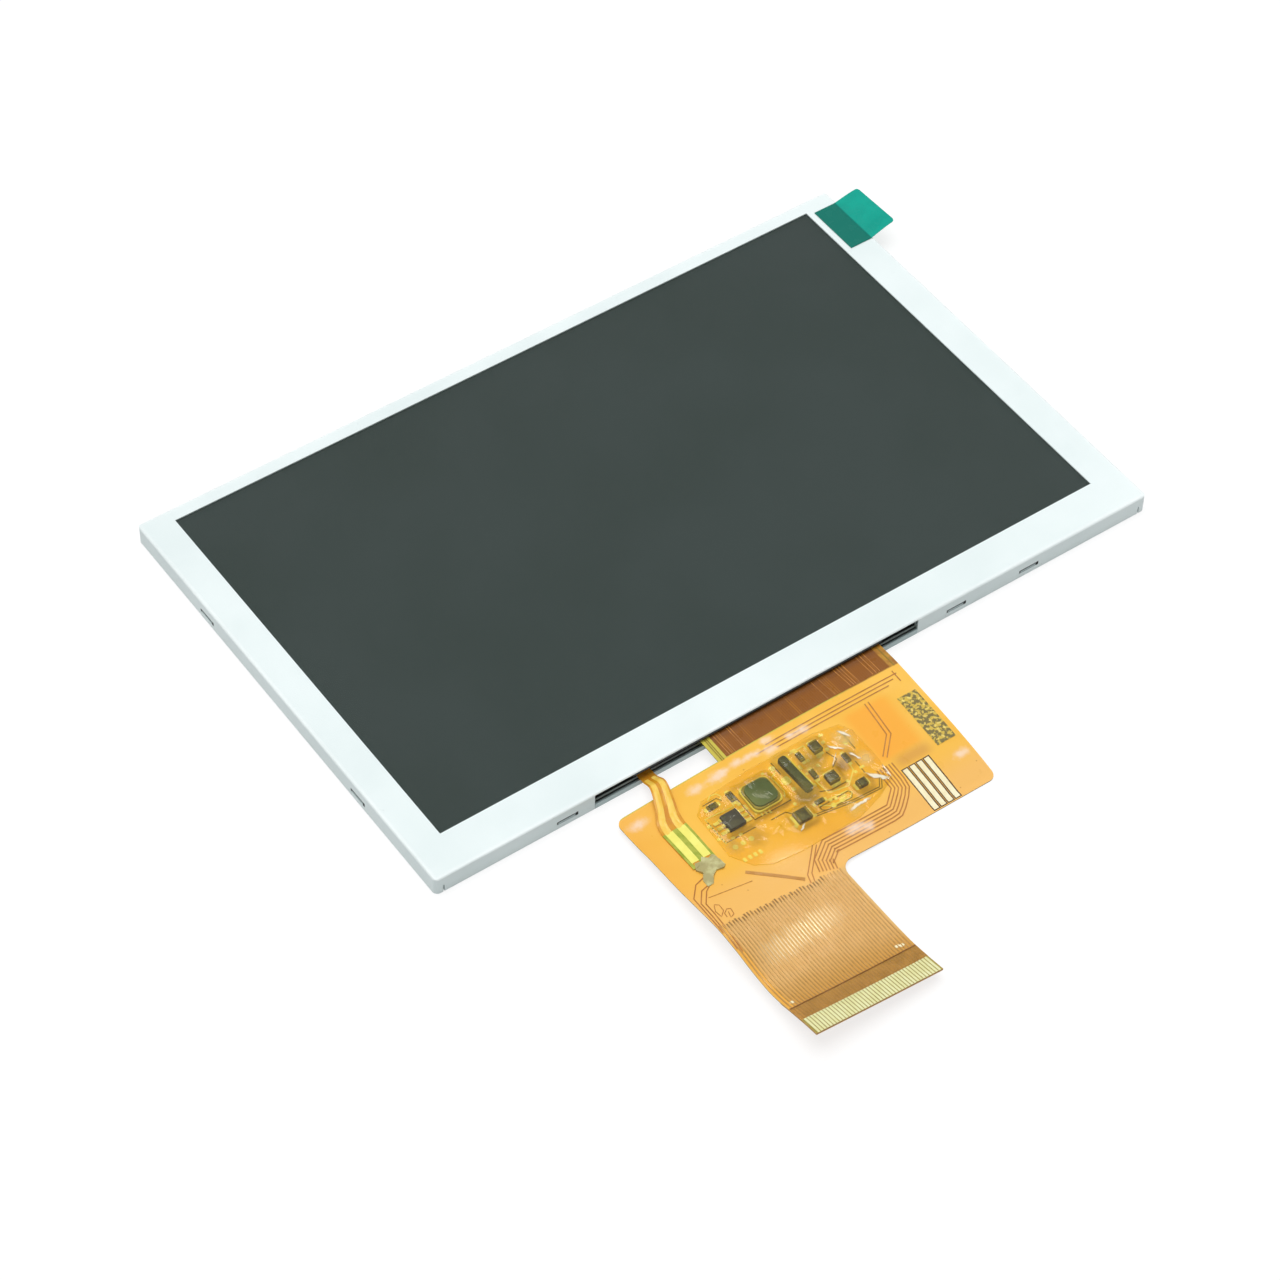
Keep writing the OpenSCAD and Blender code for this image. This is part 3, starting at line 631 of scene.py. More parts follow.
def clear_film(name, colour, tint, share, gloss=0.0, roughness=0.12, relief=0.01, creases=(), clouds=()):
    """See-through film: light takes its tint on the way through each face, and share of it is scattered.
    creases are lines from one (x, out) to another along which a bright highlight is painted, and clouds are
    (x, out, radius, strength, colour): patches where the film turns that colour and scatters more."""
    look = Look(name, colour, roughness, specular=SHEEN)
    size = 1.2
    shade = look.vary(colour, tuple(0.82 * c for c in rgb(colour)[:3]) + (1.0,), size)
    look.gloss(size, roughness * 0.7, roughness * 1.4)
    look.grain(size * 0.8, relief)
    behind = look.node("BsdfTransparent", Color=tint).outputs[0]
    if gloss:
        shine = look.node("BsdfGlossy", Roughness=roughness).outputs[0]
        behind = look.between(look.times(look.node("Fresnel", IOR=1.5).outputs[0], gloss), behind, shine)
    cover = share
    if creases:
        # Painted highlight: bright streaks along the given lines, which also scatter most of the light.
        streak_highlight = look.creased(creases)
        cover = look.most(look.times(streak_highlight, 0.85), share)
        for x, out, radius, strength, cloud in clouds:
            patch = look.spot(x, out, radius, strength)
            shade = look.mix(look.maths("MINIMUM", look.times(patch, 4.0), 1.0), shade, cloud)
            cover = look.most(cover, patch)
        shade = look.mix(streak_highlight, shade, "#fffae2")
    look.paint(shade)
    look.show(look.between(cover, behind, look.bsdf.outputs[0]))
    return look.material


GOLD = film("gold_flash", "#fff0b0", "#fae496", 0.3, 0.004, 0.6)
CREAM = film("pale_gold_pads", "#fff8d2", "#faeec2", 0.35, 0.004, 0.8)
TIN = film("gilt_leads", "#fff0b0", "#f4dc8c", 0.3, 0.004, 0.6)
CHIP_NAVY = plastic("moulded_chip", "#282c64", "#222654")
MOULD_DARK = plastic("moulded_dark", "#323e3a", "#28322e")
FERRITE = plastic("ferrite", "#486454", "#3c5448", 0.4)
BROWN_CERAMIC = ceramic("capacitor_body", "#4e483c", "#342e34")
DARK_CERAMIC = ceramic("resistor_body", "#545038", "#463e32")
DULL_CAPS = ceramic("dull_tinned_caps", "#8c7a48", "#70623e")
# Painted highlight: pale rims for the tape's glint on the edges of the inductor and the diode.
PALE_RIM_HIGHLIGHT = plastic("pale_rim_highlight", "#f0de78", "#e8d060", 0.4)

NODE_LOOKS = {
    "mould_frame": frame_moulding(),
    "reflector_sheet": film("reflector_foil", "#f0f4f4", "#e6ecec"),
    "light_guide_plate": glass("guide_acrylic", "#deecf0", 0.6),
    "backlight_leds": plastic("led_resin", "#f0e896", "#e6d878"),
    "diffuser_sheet": film("diffuser_film", "#ecf0f0", "#e4e8e8", 0.5),
    "lower_prism_sheet": film("lower_prism_film", "#d6dee0", "#ccd6d8", 0.25),
    "upper_prism_sheet": film("upper_prism_film", "#d0dadc", "#c6d0d4", 0.25),
    "rim_tape": film("black_rim_tape", "#181a1b", "#202223", 0.45),
    "rear_polariser": film("rear_polariser_film", "#282c2d", "#2e3232"),
    "tft_glass": glass("tft_glass_sheet", "#0e1414", 0.95),
    "colour_filter_glass": glass("filter_glass_sheet", "#0a0e0e", 0.97),
    "front_polariser": panel(),
    "driver_ic": plastic("driver_silicon", "#3c4046", "#34383e", 0.25),
}
for node_name, node_look in NODE_LOOKS.items():
    nodes[node_name].data.materials.clear()
    nodes[node_name].data.materials.append(node_look)

# ---- stage: pale paper that is lit by itself for the camera, so that it is even, with soft shadows
WHITE = (1, 1, 1, 1)
FLOOR_GLOW, FLOOR_SHADE, FLOOR_REACH, FLOOR_GAP = 0.76, 0.28, 4.0, 0.00002
paper = Look("floor_paper", (0.82, 0.82, 0.82, 1), 0.9, specular=0.0)
glow = paper.node("Emission", Strength=FLOOR_GLOW).outputs[0]
shaded = paper.node("BsdfDiffuse", Color=(FLOOR_SHADE, FLOOR_SHADE, FLOOR_SHADE, 1)).outputs[0]
paper.show(paper.for_camera(paper.node("AddShader", glow, shaded).outputs[0], paper.bsdf.outputs[0]))
mesh = bpy.data.meshes.new("floor")
corners = ((-1, -1), (1, -1), (1, 1), (-1, 1))
mesh.from_pydata([(x * FLOOR_REACH, y * FLOOR_REACH, cad_box[0][2] - FLOOR_GAP) for x, y in corners],
                 [], [(0, 1, 2, 3)])
mesh.materials.append(paper.material)
put("floor", mesh)

# ---- light
WORLD_LIGHT, KEY_LIGHT, SHEEN_LIGHT = 0.36, 1.88, 0.14
world = bpy.data.worlds.new("studio")
bpy.context.scene.world = world
world.use_nodes = True
sky = Tree(world.node_tree)
soft = sky.nodes["Background"]
sky.join(WHITE, soft.inputs["Color"])
sky.join(WORLD_LIGHT, soft.inputs["Strength"])
sky.join(sky.for_camera(sky.node("Background", WHITE).outputs[0], soft.outputs[0]),
         sky.nodes["World Output"].inputs[0])
# Distant lamps: direction in which the object sees them, strength, and size in degrees
for name, towards, strength, spread in (("key", (-0.08, 0.1, 1.0), KEY_LIGHT, 50),
                                        ("sheen", (0.535, 0.403, 0.742), SHEEN_LIGHT, 9)):
    lamp = bpy.data.lights.new(name, "SUN")
    lamp.energy = strength
    lamp.angle = radians(spread)
    put(name, lamp).rotation_euler = Vector(towards).to_track_quat("Z", "Y").to_euler()

# ---- camera
STAND, TARGET = Vector((-0.22293, -0.30210, 0.41391)), Vector((-0.01374, -0.01821, 0.0015))
ROLL = radians(1.43)
lens = bpy.data.cameras.new("camera")
lens.lens, lens.sensor_width = 111.1, 36
lens.clip_start, lens.clip_end = 0.01, 20
camera = put("camera", lens)
aim = (TARGET - STAND).to_track_quat("-Z", "Y").to_matrix().to_4x4()
camera.matrix_world = Matrix.Translation(STAND) @ aim @ Matrix.Rotation(ROLL, 4, "Z")
bpy.context.scene.camera = camera
bpy.context.scene.view_settings.view_transform = "Standard"

# ---- steel sheets, the circuit's film, and the plate under its contacts
soften_folds("front_bezel", steel("bezel_plating", "#f2fafa", 0.05, 0.42, 0.35))
soften_folds("rear_chassis", steel("chassis_plating", "#becccd", 0.3, 0.38, 0.3))
piece("circuit_film", polyimide(), "flex_circuit",
      [(sheet, FLEX_OUTLINE, flex_z, over(0.0))], film("film_cut_edge", "#967630", "#82682c"))
piece("contact_stiffener",
      film("stiffener_board", "#d89e4e", "#ce9242", 0.35), "tail_stiffener",
      [(sheet, tail_end(TAIL_OUT - 7.5, TAIL_OUT), lambda x, out: flex_z(x, out) - 0.18,
        lambda x, out: flex_z(x, out) - SKIN)])

# ---- the neck: a brown field of fine tracks, wider ones that show through it, and its margins' lines
margin = 1.4
piece("neck_field", neck_film(), "neck_traces",
      [(sheet, rectangle(NECK_LEFT + margin, FLEX_RIGHT - margin, -1.2, NECK_LEN), over(0), over(0.03), 0.8)])
rng = Random(4)
groups = ((-15.9, 3, 0.45), (-13.6, 2, 0.4), (0.6, 2, 1.1), (4.4, 4, 0.5), (8.3, 3, 0.6))
piece("neck_wide_tracks", tinned("neck_gold", "#c88430", 0.35), None,
      [(track, [(x, -0.8), (x + 0.3 * rng.random(), NECK_LEN - 0.1)], 0.1, 0.015, 0.035)
       for start, count, pitch in groups for x in (start + k * pitch for k in range(count))])
piece("neck_margin_lines", film("margin_copper", "#96802e", "#887026"), None,
      [(track, [(x, -0.9), (x, NECK_LEN + 0.2)], 0.14)
       for x in (NECK_LEFT + 0.55, NECK_LEFT + 0.85, FLEX_RIGHT - 0.7)])

# ---- a black strip under the bezel's lip, standing just past it along the notch: a painted shadow of the lip
LED_STRIP_Z = node_box("led_flex")[0].z
LED_TAIL_X, PAD_OUT, PAD_LEN, PAD_PITCH = -29.15, 10.0, 6.0, 1.9
LED_REST = 8.0  # out from which the backlight's tail lies on the circuit
# Points along it: (x, out, lift over the circuit or 0 where it is level with its strip, width)
LED_TAIL = [(-26.6, -3.35, 0, 2.2), (-26.6, 0.6, 0, 2.2), (-26.9, 3, 0.6, 2.6), (-27.9, 6, 0.4, 3.1),
    (-28.8, 8, 0.2, 3.6), (LED_TAIL_X, 10, 0.06, 3.8), (LED_TAIL_X, 16.9, 0.06, 3.8)]
under_lip = BEZEL_HIGH.z - 0.205
# Painted shadow: a black strip for the dark line that the bezel's lip casts along the notch.
piece("lip_shadow_strip", film("lip_shadow_strip", "#101212", "#181a1a", 0.5), None,
      [(sheet, rectangle(LED_TAIL[0][0] - 2.4, FLEX_RIGHT + 0.3, -1.0, 0.22), level(under_lip - 0.05),
        level(under_lip), 60.0)])

# ---- painted shade in the openings round the chassis tongues in the bezel's walls: thin dark blocks over each tongue, and at its two ends
LATCH_Z = 0.85
LATCHES_LOW, LATCHES_HIGH, LATCHES_SIDE = (-39.4, 26.1, 39.0), (-39.0, -13.0, 13.0, 39.0), (-19.2, 19.2)
# Place along the wall, height over LATCH_Z, width and height
OPENINGS = ((-0.15, 0.5, 2.7, 0.18), (-1.6, 0.34, 0.2, 0.46), (1.5, 0.32, 0.42, 0.66))


def opening(x, y, dx, dy, shift, lift, w, h):
    """Thin dark block on the wall through (x, y), which runs along (dx, dy)."""
    ring = []
    for side, rise in ((-1, -1), (1, -1), (1, 1), (-1, 1)):
        far = shift + side * w / 2
        ring.append(Vector((x + dx * far, y + dy * far, LATCH_Z + lift + rise * h / 2)) * MM)
    return tube, [ring, [point + Vector((-dy, dx, 0)) * 0.02 * MM for point in ring]]


low, high = BEZEL_LOW - Vector((1, 1, 0)) * 0.004, BEZEL_HIGH + Vector((1, 1, 0)) * 0.004
walls = [(x, low.y, 1, 0) for x in LATCHES_LOW] + [(x, high.y, -1, 0) for x in LATCHES_HIGH]
walls += [(low.x, y, 0, -1) for y in LATCHES_SIDE] + [(high.x, y, 0, 1) for y in LATCHES_SIDE]
# Painted shade: thin dark blocks in the openings round each tongue.
piece("latch_openings", film("latch_shadow", "#141819", "#0e1112", 0.6), None,
      [opening(*wall, *gap) for wall in walls for gap in OPENINGS])

# ---- tracks of the body
TOP_TRACKS = [[(11.2, 5.5), (-11, 5.5)], [(10.2, 6.1), (-13, 6.1)], [(9, 6.7), (-10, 6.7)], [(10.9, 4.9),
    (10.9, 6.9)], [(4.3, 7.4), (3.8, 13), (1.2, 15.6)], [(4.9, 7.4), (4.4, 13.2), (1.6, 16)]]
BUS_TRACK = [(-0.9, 17), (-0.9, 20.2), (-3, 22), (-13.8, 22), (-16.6, 24), (-17.2, 26)]
LEFT_TRACKS = [[(-30.8, 20), (-32.3, 20.4), (-33.7, 22.2), (-33.8, 24.2), (-34.3, 31)], [(-30.6, 18.6),
    (-32.3, 19.1), (-34, 21), (-34.2, 24), (-34.4, 28)], [(-30.9, 20.2), (-31.8, 20.8), (-33.2, 22.6),
    (-33.3, 24.4), (-33.9, 31.6)]]
LOOP_TRACKS = [[(-32.4, 23.3), (-31.9, 23.7), (-32, 24.8), (-32.9, 25.6), (-33, 24.4), (-32.5, 23.4)],
    [(-32.3, 26), (-32.2, 25.3), (-31.5, 24.8), (-31, 25), (-31.2, 26), (-31.9, 26.3), (-31.6, 25.3)]]
CORNER_TRACKS = [[(-15.4, 22.0), (-18.9, 25.6), (-19.3, 26.9)], [(-14.9, 22.2), (-18.2, 25.6), (-18.7, 26.9)]]
piece("body_copper_tracks", covered_copper(), "body_traces",
      [(track, route, 0.16) for route in TOP_TRACKS + LEFT_TRACKS]
      + [(track, route, 0.1) for route in LOOP_TRACKS]
      + [(track, beside(fine(BUS_TRACK), 0.5 * k), 0.17) for k in range(6)]
      + [(track, route, 0.15) for route in CORNER_TRACKS])
piece("ground_tracks", film("ground_copper", "#cc944a", "#c2883e"), None,
      [(track, [(-25.6, 20.9), (-19.6, 26)], 0.5), (track, [(-32.3, 21.9), (-25.7, 22.6)], 0.1)])

# ---- the tail's parallel tracks, with darker ragged ends, and its contacts
CONTACTS, PITCH, CONTACT_LEN = 40, 0.5, 3.1
CONTACT_OUT = TAIL_OUT - CONTACT_LEN
contact_xs = [FLEX_LEFT + 0.5 + i * PITCH for i in range(CONTACTS)]
runs, ends = [], []
rng = Random(11)
for i, x in enumerate(contact_xs):
    start = BODY_OUT + rng.uniform(0.4, 0.8)
    runs.append((track, [(x, start), (x, CONTACT_OUT - SKIN)], 0.17, 0.03, SKIN, 0.8))
    if 1 < i < CONTACTS - 6:
        end = [(x + rng.uniform(-0.1, 0.1), start), (x, start + rng.uniform(0.6, 0.9))]
        ends.append((track, end, 0.15, 0.035))
piece("tail_copper_tracks", tail_copper(), "tail_traces", runs)
piece("tail_track_ends",
      film("dark_copper_ends", "#a0763e", "#825a2e", 0.4, 0.004, 0.4), None, ends)
piece("gold_contacts",
      film("contact_gold", "#f0f0ba", "#e8e6aa", 0.3, 0.002, 1.5), "contact_fingers",
      [(track, [(x, CONTACT_OUT), (x, TAIL_OUT - SKIN)], 0.36, 0.03) for x in contact_xs])
piece("contact_ground",
      film("contact_ground", "#b0a054", "#a49246", 0.4), None,
      [(sheet, tail_end(CONTACT_OUT, TAIL_OUT - SKIN), over(0.004), over(0.012))])

# ---- second cover film before the contacts, with a dark line painted as the shadow of the step where it starts
band_out = CONTACT_OUT - 2.6
piece("end_cover_band",
      clear_film("end_cover_film", "#d6a454", (0.98, 0.96, 0.88, 1), 0.4), "end_coverlay",
      [(sheet, tail_end(band_out, CONTACT_OUT - SKIN), over(0.065), over(0.09))])
piece("alignment_lands", CREAM, None,
      [land(x, band_out - back, 0.7, 0.5, 0.2)
       for x, back in ((-33.4, 0.9), (TAIL_RIGHT - 1.5, 0.9), (TAIL_RIGHT - 2.1, 1.1))])
# Painted shadow: a dark line along the step where the second cover film starts.
piece("end_cover_step_shadow", film("step_shadow", "#80501e", "#704418", 0.5), None,
      [(track, [(FLEX_LEFT + 0.1, band_out + 0.1), (TAIL_RIGHT - 0.1, band_out + 0.1)], 0.16, 0.03, 0.085)])

# ---- four long pads for a touch panel's tail, each in a dark window of the cover film, its margin wider on the pad's right side as a painted shadow there
pad_xs = [FLEX_RIGHT - 10 + 1.2 * k for k in range(4)]
piece("touch_pads_gold", CREAM, "touch_pads",
      [(track, [(x - 0.03, 18.8), (x - 0.03, 25.9)], 0.76, 0.03, 0.02) for x in pad_xs])
# The dark window is the cover film's opening; its wider margin on each pad's right side is a painted shadow.
piece("touch_pad_windows", film("pad_window_edge", "#5c3c14", "#4e3212", 0.4), None,
      [(sheet, rectangle(x - 0.56, x + 0.56, 18.62, 26.05), over(0.004), over(0.014)) for x in pad_xs])

# ---- plain olive print where the real circuit is marked, broken up by small gold lands
PRINT_LEFT, PRINT_RIGHT, PRINT_TOP, PRINT_FOOT = FLEX_RIGHT - 3.9, FLEX_RIGHT - 0.8, 9.1, 18.1
olive = Look("olive_print", "#bea03e", 0.45)
olive.paint(olive.mix(olive.ramp(olive.noise(0.5), 0.42, 0.54), "#d6b63e", "#706226"))
olive.grain(0.6, 0.02)
piece("print_block", olive.material, "marking_patch",
      [(sheet, rectangle(PRINT_LEFT, PRINT_RIGHT, PRINT_TOP, PRINT_FOOT), over(SKIN), over(0.05))])
rng = Random(8)
lands = []
for k in range(26):
    x = PRINT_LEFT + 0.55 + 1.0 * (k % 3) + rng.uniform(-0.15, 0.15)
    out = PRINT_TOP + 0.6 + 0.95 * (k // 3) + rng.uniform(-0.15, 0.15)
    turn = rng.uniform(0, pi)
    lands.append(land(x, out, rng.uniform(0.2, 0.34), rng.uniform(0.4, 0.7), 0.09, 0.05, turn))
piece("print_block_lands",
      film("print_lands", "#f4de78", "#d6b854", 0.3, 0.004, 0.5), None, lands)

# ---- parts, and the copper that shows between them under the tape: (x, out, width, length)
INDUCTOR, CHIP, DIODE = (-16.5, 11.9), (-22.1, 13.3), (-10.7, 11.8)
CAPACITORS = [(-5.8, 9.7, 1.4, 1.8), (-6.8, 14.8, 1.7, 1.7), (-13.8, 17.6, 2.2, 1.9), (-3.9, 17.6, 1.5, 1.2)]
RESISTORS = [(-22.9, 9.8, 1.6, 0.9), (-19.9, 9.9, 0.9, 1.6), (-8.4, 9.8, 0.8, 1.5), (-8.5, 13, 0.8, 1.5),
    (-3.2, 13.2, 0.8, 1.5), (-10.4, 16.9, 1.4, 0.7)]
PART_TRACKS = [[(-12.1, 18.2), (-6.5, 19), (-2.1, 19.2), (-1.3, 18.1)], [(-12.1, 18.5), (-6.5, 19.3),
    (-1.9, 19.5), (-1, 18.2)], [(-10.9, 17.6), (-6.1, 17.5), (-5.8, 18), (-6.3, 18.6), (-10.3, 18.5),
    (-10.9, 18.1), (-10.9, 17.6)], [(-24.9, 11.2), (-24.9, 15.6), (-20, 15.6)], [(-19.4, 9.1), (-19.4, 14.6),
    (-13.4, 14.6)], [(-4.9, 11), (-4.3, 12.6), (-5.6, 13.4)], [(-12.2, 8.4), (-12.2, 10.6)], [(-1.2, 9.2),
    (-1.2, 12.6)], [(-23.8, 8.9), (-21.6, 8.9), (-21.2, 9.6)], [(-17.6, 15.8), (-15.2, 15.8), (-14.6, 16.6)],
    [(-2.4, 14.2), (-2.4, 16.3)], [(-9.4, 15.6), (-7.9, 16.2), (-5.2, 16.2)]]
PART_LANDS = [(-12.2, 11.8, 1.3, 1.3), (-8.1, 9.9, 0.5, 0.5), (-7.8, 10.8, 0.5, 0.5), (-9.3, 11.1, 0.4, 0.8),
    (-8.3, 12, 0.5, 0.5), (-12.1, 13.4, 0.6, 0.6), (-6.1, 11.1, 0.8, 0.4), (-4.5, 10.7, 0.6, 0.5),
    (-4.3, 9.5, 0.6, 0.5), (-7.1, 12.1, 0.5, 0.5), (-9.2, 12.4, 0.4, 0.4), (-12.7, 9.2, 0.6, 0.9),
    (-9, 17.45, 0.5, 0.4), (-8.2, 17.65, 0.5, 0.4), (-7.1, 17.9, 0.9, 0.5), (-9.3, 14.4, 0.4, 0.6),
    (-19.2, 12.3, 0.35, 0.9), (-18.7, 13.6, 0.3, 0.9), (-18.1, 14.2, 0.3, 0.9), (-17.5, 14.4, 0.3, 0.8),
    (-16.9, 14.6, 0.3, 0.7), (-19.7, 11.4, 0.6, 0.5), (-25.2, 12.2, 0.5, 0.5), (-25.3, 14.6, 0.5, 0.5),
    (-23.6, 15.4, 0.6, 0.4), (-22.4, 15.5, 0.6, 0.4), (-3.9, 8.4, 0.8, 0.4), (-8.6, 8.4, 0.9, 0.4),
    (-1.8, 11.2, 0.5, 0.7), (-2.2, 15.4, 0.8, 0.4), (-15.4, 18.4, 0.4, 0.6), (-12.2, 18.3, 0.6, 0.4),
    (-5.2, 16.2, 0.5, 0.5), (-3.4, 15.6, 0.5, 0.5), (-14.2, 9.2, 0.5, 0.4), (-13.4, 15.4, 0.5, 0.5)]
GOLD_LINES = [[(-24.9, 15.8), (-24.9, 10.9), (-20.4, 11.3), (-20.4, 10.6)], [(-8.9, 13.7), (-8.5, 16.4),
    (-5.5, 16.9), (-3.5, 15.2), (-3, 12.4)], [(-10.1, 16.7), (-9.4, 17.2), (-6.2, 17.4), (-5.7, 17.9),
    (-6.5, 18.5), (-9.5, 18.2), (-10.8, 17.3)], [(-22.8, 8.6), (-22.1, 8.1), (-21.2, 8.3), (-20.9, 9),
    (-21.4, 9.5)], [(-13.9, 13.8), (-13.4, 13), (-13.6, 10.4), (-12.6, 9.9)], [(-9.5, 8.6), (-6.9, 8.5),
    (-6.9, 9.3)]]
ROUND_PADS = [(-12.6, 9.2), (-7.6, 18.2), (-9.1, 18.3), (-24.2, 16.8), (-22.9, 16.8), (-21.6, 16.8)]
piece("round_test_pads", GOLD, "test_pads",
      [land(x, out, 0.8, 0.8, 0.39) for x, out in ROUND_PADS]
      + [land(-24.4 + 0.85 * k, 19.2, 0.5, 0.7, 0.1) for k in range(4)])
piece("part_tracks", tinned("olive_tracks", "#967422", 0.4), None,
      [(track, route, 0.14) for route in PART_TRACKS])
piece("part_lands", GOLD, None,
      [(track, route, 0.18) for route in GOLD_LINES]
      + [land(x, out, w + (0.9 if w > d else -0.2), d + (-0.2 if w > d else 0.9), 0.15)
         for x, out, w, d in CAPACITORS + RESISTORS]
      + [land(x, out, w, d, min(w, d) * 0.35) for x, out, w, d in PART_LANDS])


# ---- the backlight's tail: a yellow film with two ribs over its conductors, and the strip it comes from
def led_tail_stations():
    """Smooth stations along the tail: (x, out, height of its underside, width, fall across it)."""
    xs, outs, _, widths = zip(*LED_TAIL)
    levels = [flex_top(x, out) + lift if lift else LED_STRIP_Z for x, out, lift, _ in LED_TAIL]
    count = 60
    for k in range(count + 1):
        out = outs[0] + (outs[-1] - outs[0]) * k / count
        x, z, w = (along(list(zip(outs, values)), out) for values in (xs, levels, widths))
        fall = 0.0
        if out > LED_REST:
            z = max(z, flex_top(x, out) + 0.06)
            fall = flex_top(x + w / 2, out) - flex_top(x - w / 2, out)
        yield x, out, z, w, fall


stations = list(led_tail_stations())
shares = [k / 16 - 0.5 for k in range(17)]
rings = [[at(x + s * w, out, z + 0.1 + s * fall + 0.06 * sin(2 * pi * s) ** 2) for s in shares]
         + [at(x + s * w, out, z + s * fall) for s in (0.5, -0.5)] for x, out, z, w, fall in stations]
low, high = node_box("led_flex")
back = LOWER_EDGE - high.y
piece("led_tail_film",
      film("led_tail_film", "#e2a02c", "#d48c22", 0.22, 0.02), "led_flex",
      [(tube, rings), (sheet, rectangle(low.x, high.x, back, back + 2.4), level(LED_STRIP_Z),
                       level(LED_STRIP_Z + 0.1), 40.0)])
rib = ((-0.15, 0.12), (-0.09, 0.2), (0.09, 0.2), (0.15, 0.12))
piece("led_tail_ribs", film("rib_film", "#fccc50", "#ffda68", 0.2), None,
      [(tube, [[at(x + side * w / 4 + s * w, out, z + side * fall / 4 + rise) for s, rise in rib]
               for x, out, z, w, fall in stations[12:] if out <= PAD_OUT + 0.2]) for side in (-1, 1)])

# ---- its lands, the green mask between them, and the solder at their ends
piece("backlight_lands", film("lime_lands", "#fffa84", "#f8f074", 0.3, 0.004),
      "backlight_pads",
      [(sheet, rectangle(x - 0.57, x + 0.57, PAD_OUT, PAD_OUT + PAD_LEN), over(0.2), over(0.26), 0.5)
       for x in (LED_TAIL_X - PAD_PITCH / 2, LED_TAIL_X + PAD_PITCH / 2)])
piece("backlight_mask",
      film("mask_green", "#96a82e", "#b4ba48", 0.35, 0.01, 1.2), None,
      [(sheet, rectangle(LED_TAIL_X - 1.9, LED_TAIL_X + 1.9, PAD_OUT - 0.1, 16.9), over(0.18), over(0.19))])
SOLDER_OUTLINE = [(-30.4, 16.2), (-29.6, 16.5), (-29, 15.7), (-28.3, 16.4), (-27.6, 16.2), (-27.1, 17.4),
    (-27, 18.4), (-27.5, 18.8), (-28.6, 18.6), (-29.5, 19.2), (-30.2, 20.2), (-31.2, 20.3), (-31.1, 19.1),
    (-30.4, 18.1), (-30.9, 17.2)]


def solder_height(x, out):
    across, down = (x + 29.1) / 2.3, (out - 17.9) / 2.1
    lumps = 0.1 * sin(2.7 * x) * cos(2.3 * out)
    rise = 0.3 * (1 - across ** 4) * (1 - down ** 2)
    return flex_top(x, out) + 0.1 + max(0.0, rise + lumps) + (0.14 if out < 17 else 0.0)


piece("solder_mound", film("solder_mound", "#d4d096", "#b0a670", 0.35, 0.05, 1.4),
      "solder_joint", [(sheet, SOLDER_OUTLINE, over(0.05), solder_height, 0.25)])

# ---- the parts themselves
place = seat(*INDUCTOR)
shoulder = plastic("ferrite_shoulder", "#968642", "#7a6e38", 0.5)
# The inductor's pale rim is a painted highlight, the tape's glint on its edge.
for name, w, h, radius, bevel, look, stands_for in (
        ("inductor_core", 3.9, 0.98, 1.15, 0.12, FERRITE, "power_inductor"),
        ("inductor_step", 4.3, 0.7, 0.9, 0.08, shoulder, None),
        ("inductor_rim", 4.7, 0.42, 0.85, 0.1, PALE_RIM_HIGHLIGHT, None)):
    piece(name, look, stands_for, [(block, place, w, w, h, radius, bevel)])
place = seat(*CHIP)
piece("driver_chip", CHIP_NAVY, "boost_chip", [(block, place, 2.6, 2.6, 0.72, 0.12, 0.1, 0.08)])
piece("gull_wing_leads", TIN, "chip_leads",
      [(block, place, w, 0.5, h, 0.04, bevel, 0, (side * reach, 0.9 * k))
       for side in (-1, 1) for k in (-1, 0, 1)
       for w, h, bevel, reach in ((0.34, 0.36, 0.04, 1.44), (1.0, 0.12, 0.03, 1.95))])
piece("chip_pin_one_dot", MOULD_DARK, None,
      [(block, place, 0.36, 0.36, 0.012, 0.17, 0.004, 0.798, (-0.85, 0.85))])
place = seat(*DIODE, 0.06, radians(4))
piece("slim_diode_body", MOULD_DARK, "slim_diode", [(block, place, 1.2, 6.3, 0.78, 0.35, 0.12)])
# The pale strip along the diode's side is a painted highlight, the tape's glint on its edge.
piece("slim_diode_edge", PALE_RIM_HIGHLIGHT, None,
      [(block, place, 0.2, 5.9, 0.82, 0.08, 0.05, 0, (0.68, 0))])
# Two-ended ceramic parts: a body between two tinned caps along their longer side, each a share of it
for name, places, h, share, look, stands_for in (
        ("capacitor", CAPACITORS, 0.68, 0.17, BROWN_CERAMIC, "ceramic_capacitors"),
        ("resistor", RESISTORS, 0.35, 0.22, DARK_CERAMIC, "chip_resistors")):
    bodies, caps = [], []
    for x, out, w, d in places:
        place = seat(x, out)
        cap = share * max(w, d)
        if w > d:
            body, end, way = (w - 2 * cap, d - 0.04), (cap, d), (1, 0)
        else:
            body, end, way = (w - 0.04, d - 2 * cap), (w, cap), (0, 1)
        bodies.append((block, place, *body, h * 0.97, 0.12, 0.1))
        for shift in (cap / 2 - max(w, d) / 2, max(w, d) / 2 - cap / 2):
            caps.append((block, place, *end, h, 0.14, 0.12, 0, (shift * way[0], shift * way[1])))
    piece(name + "_bodies", look, stands_for, bodies)
    piece(name + "_caps", DULL_CAPS, None, caps)

# ---- amber tape over the parts
TAPE_OUTLINE = [(-25.4, 9.8), (-23.6, 8.2), (-16, 7.6), (-4.6, 7.6), (-0.8, 8.3), (0.2, 9.9), (0.5, 14.6),
    (0.3, 18.9), (-2.8, 20.4), (-7.2, 21.7), (-12.4, 21.9), (-16.9, 22.1), (-21.6, 21.8), (-24, 20.6),
    (-25.8, 17.6)]
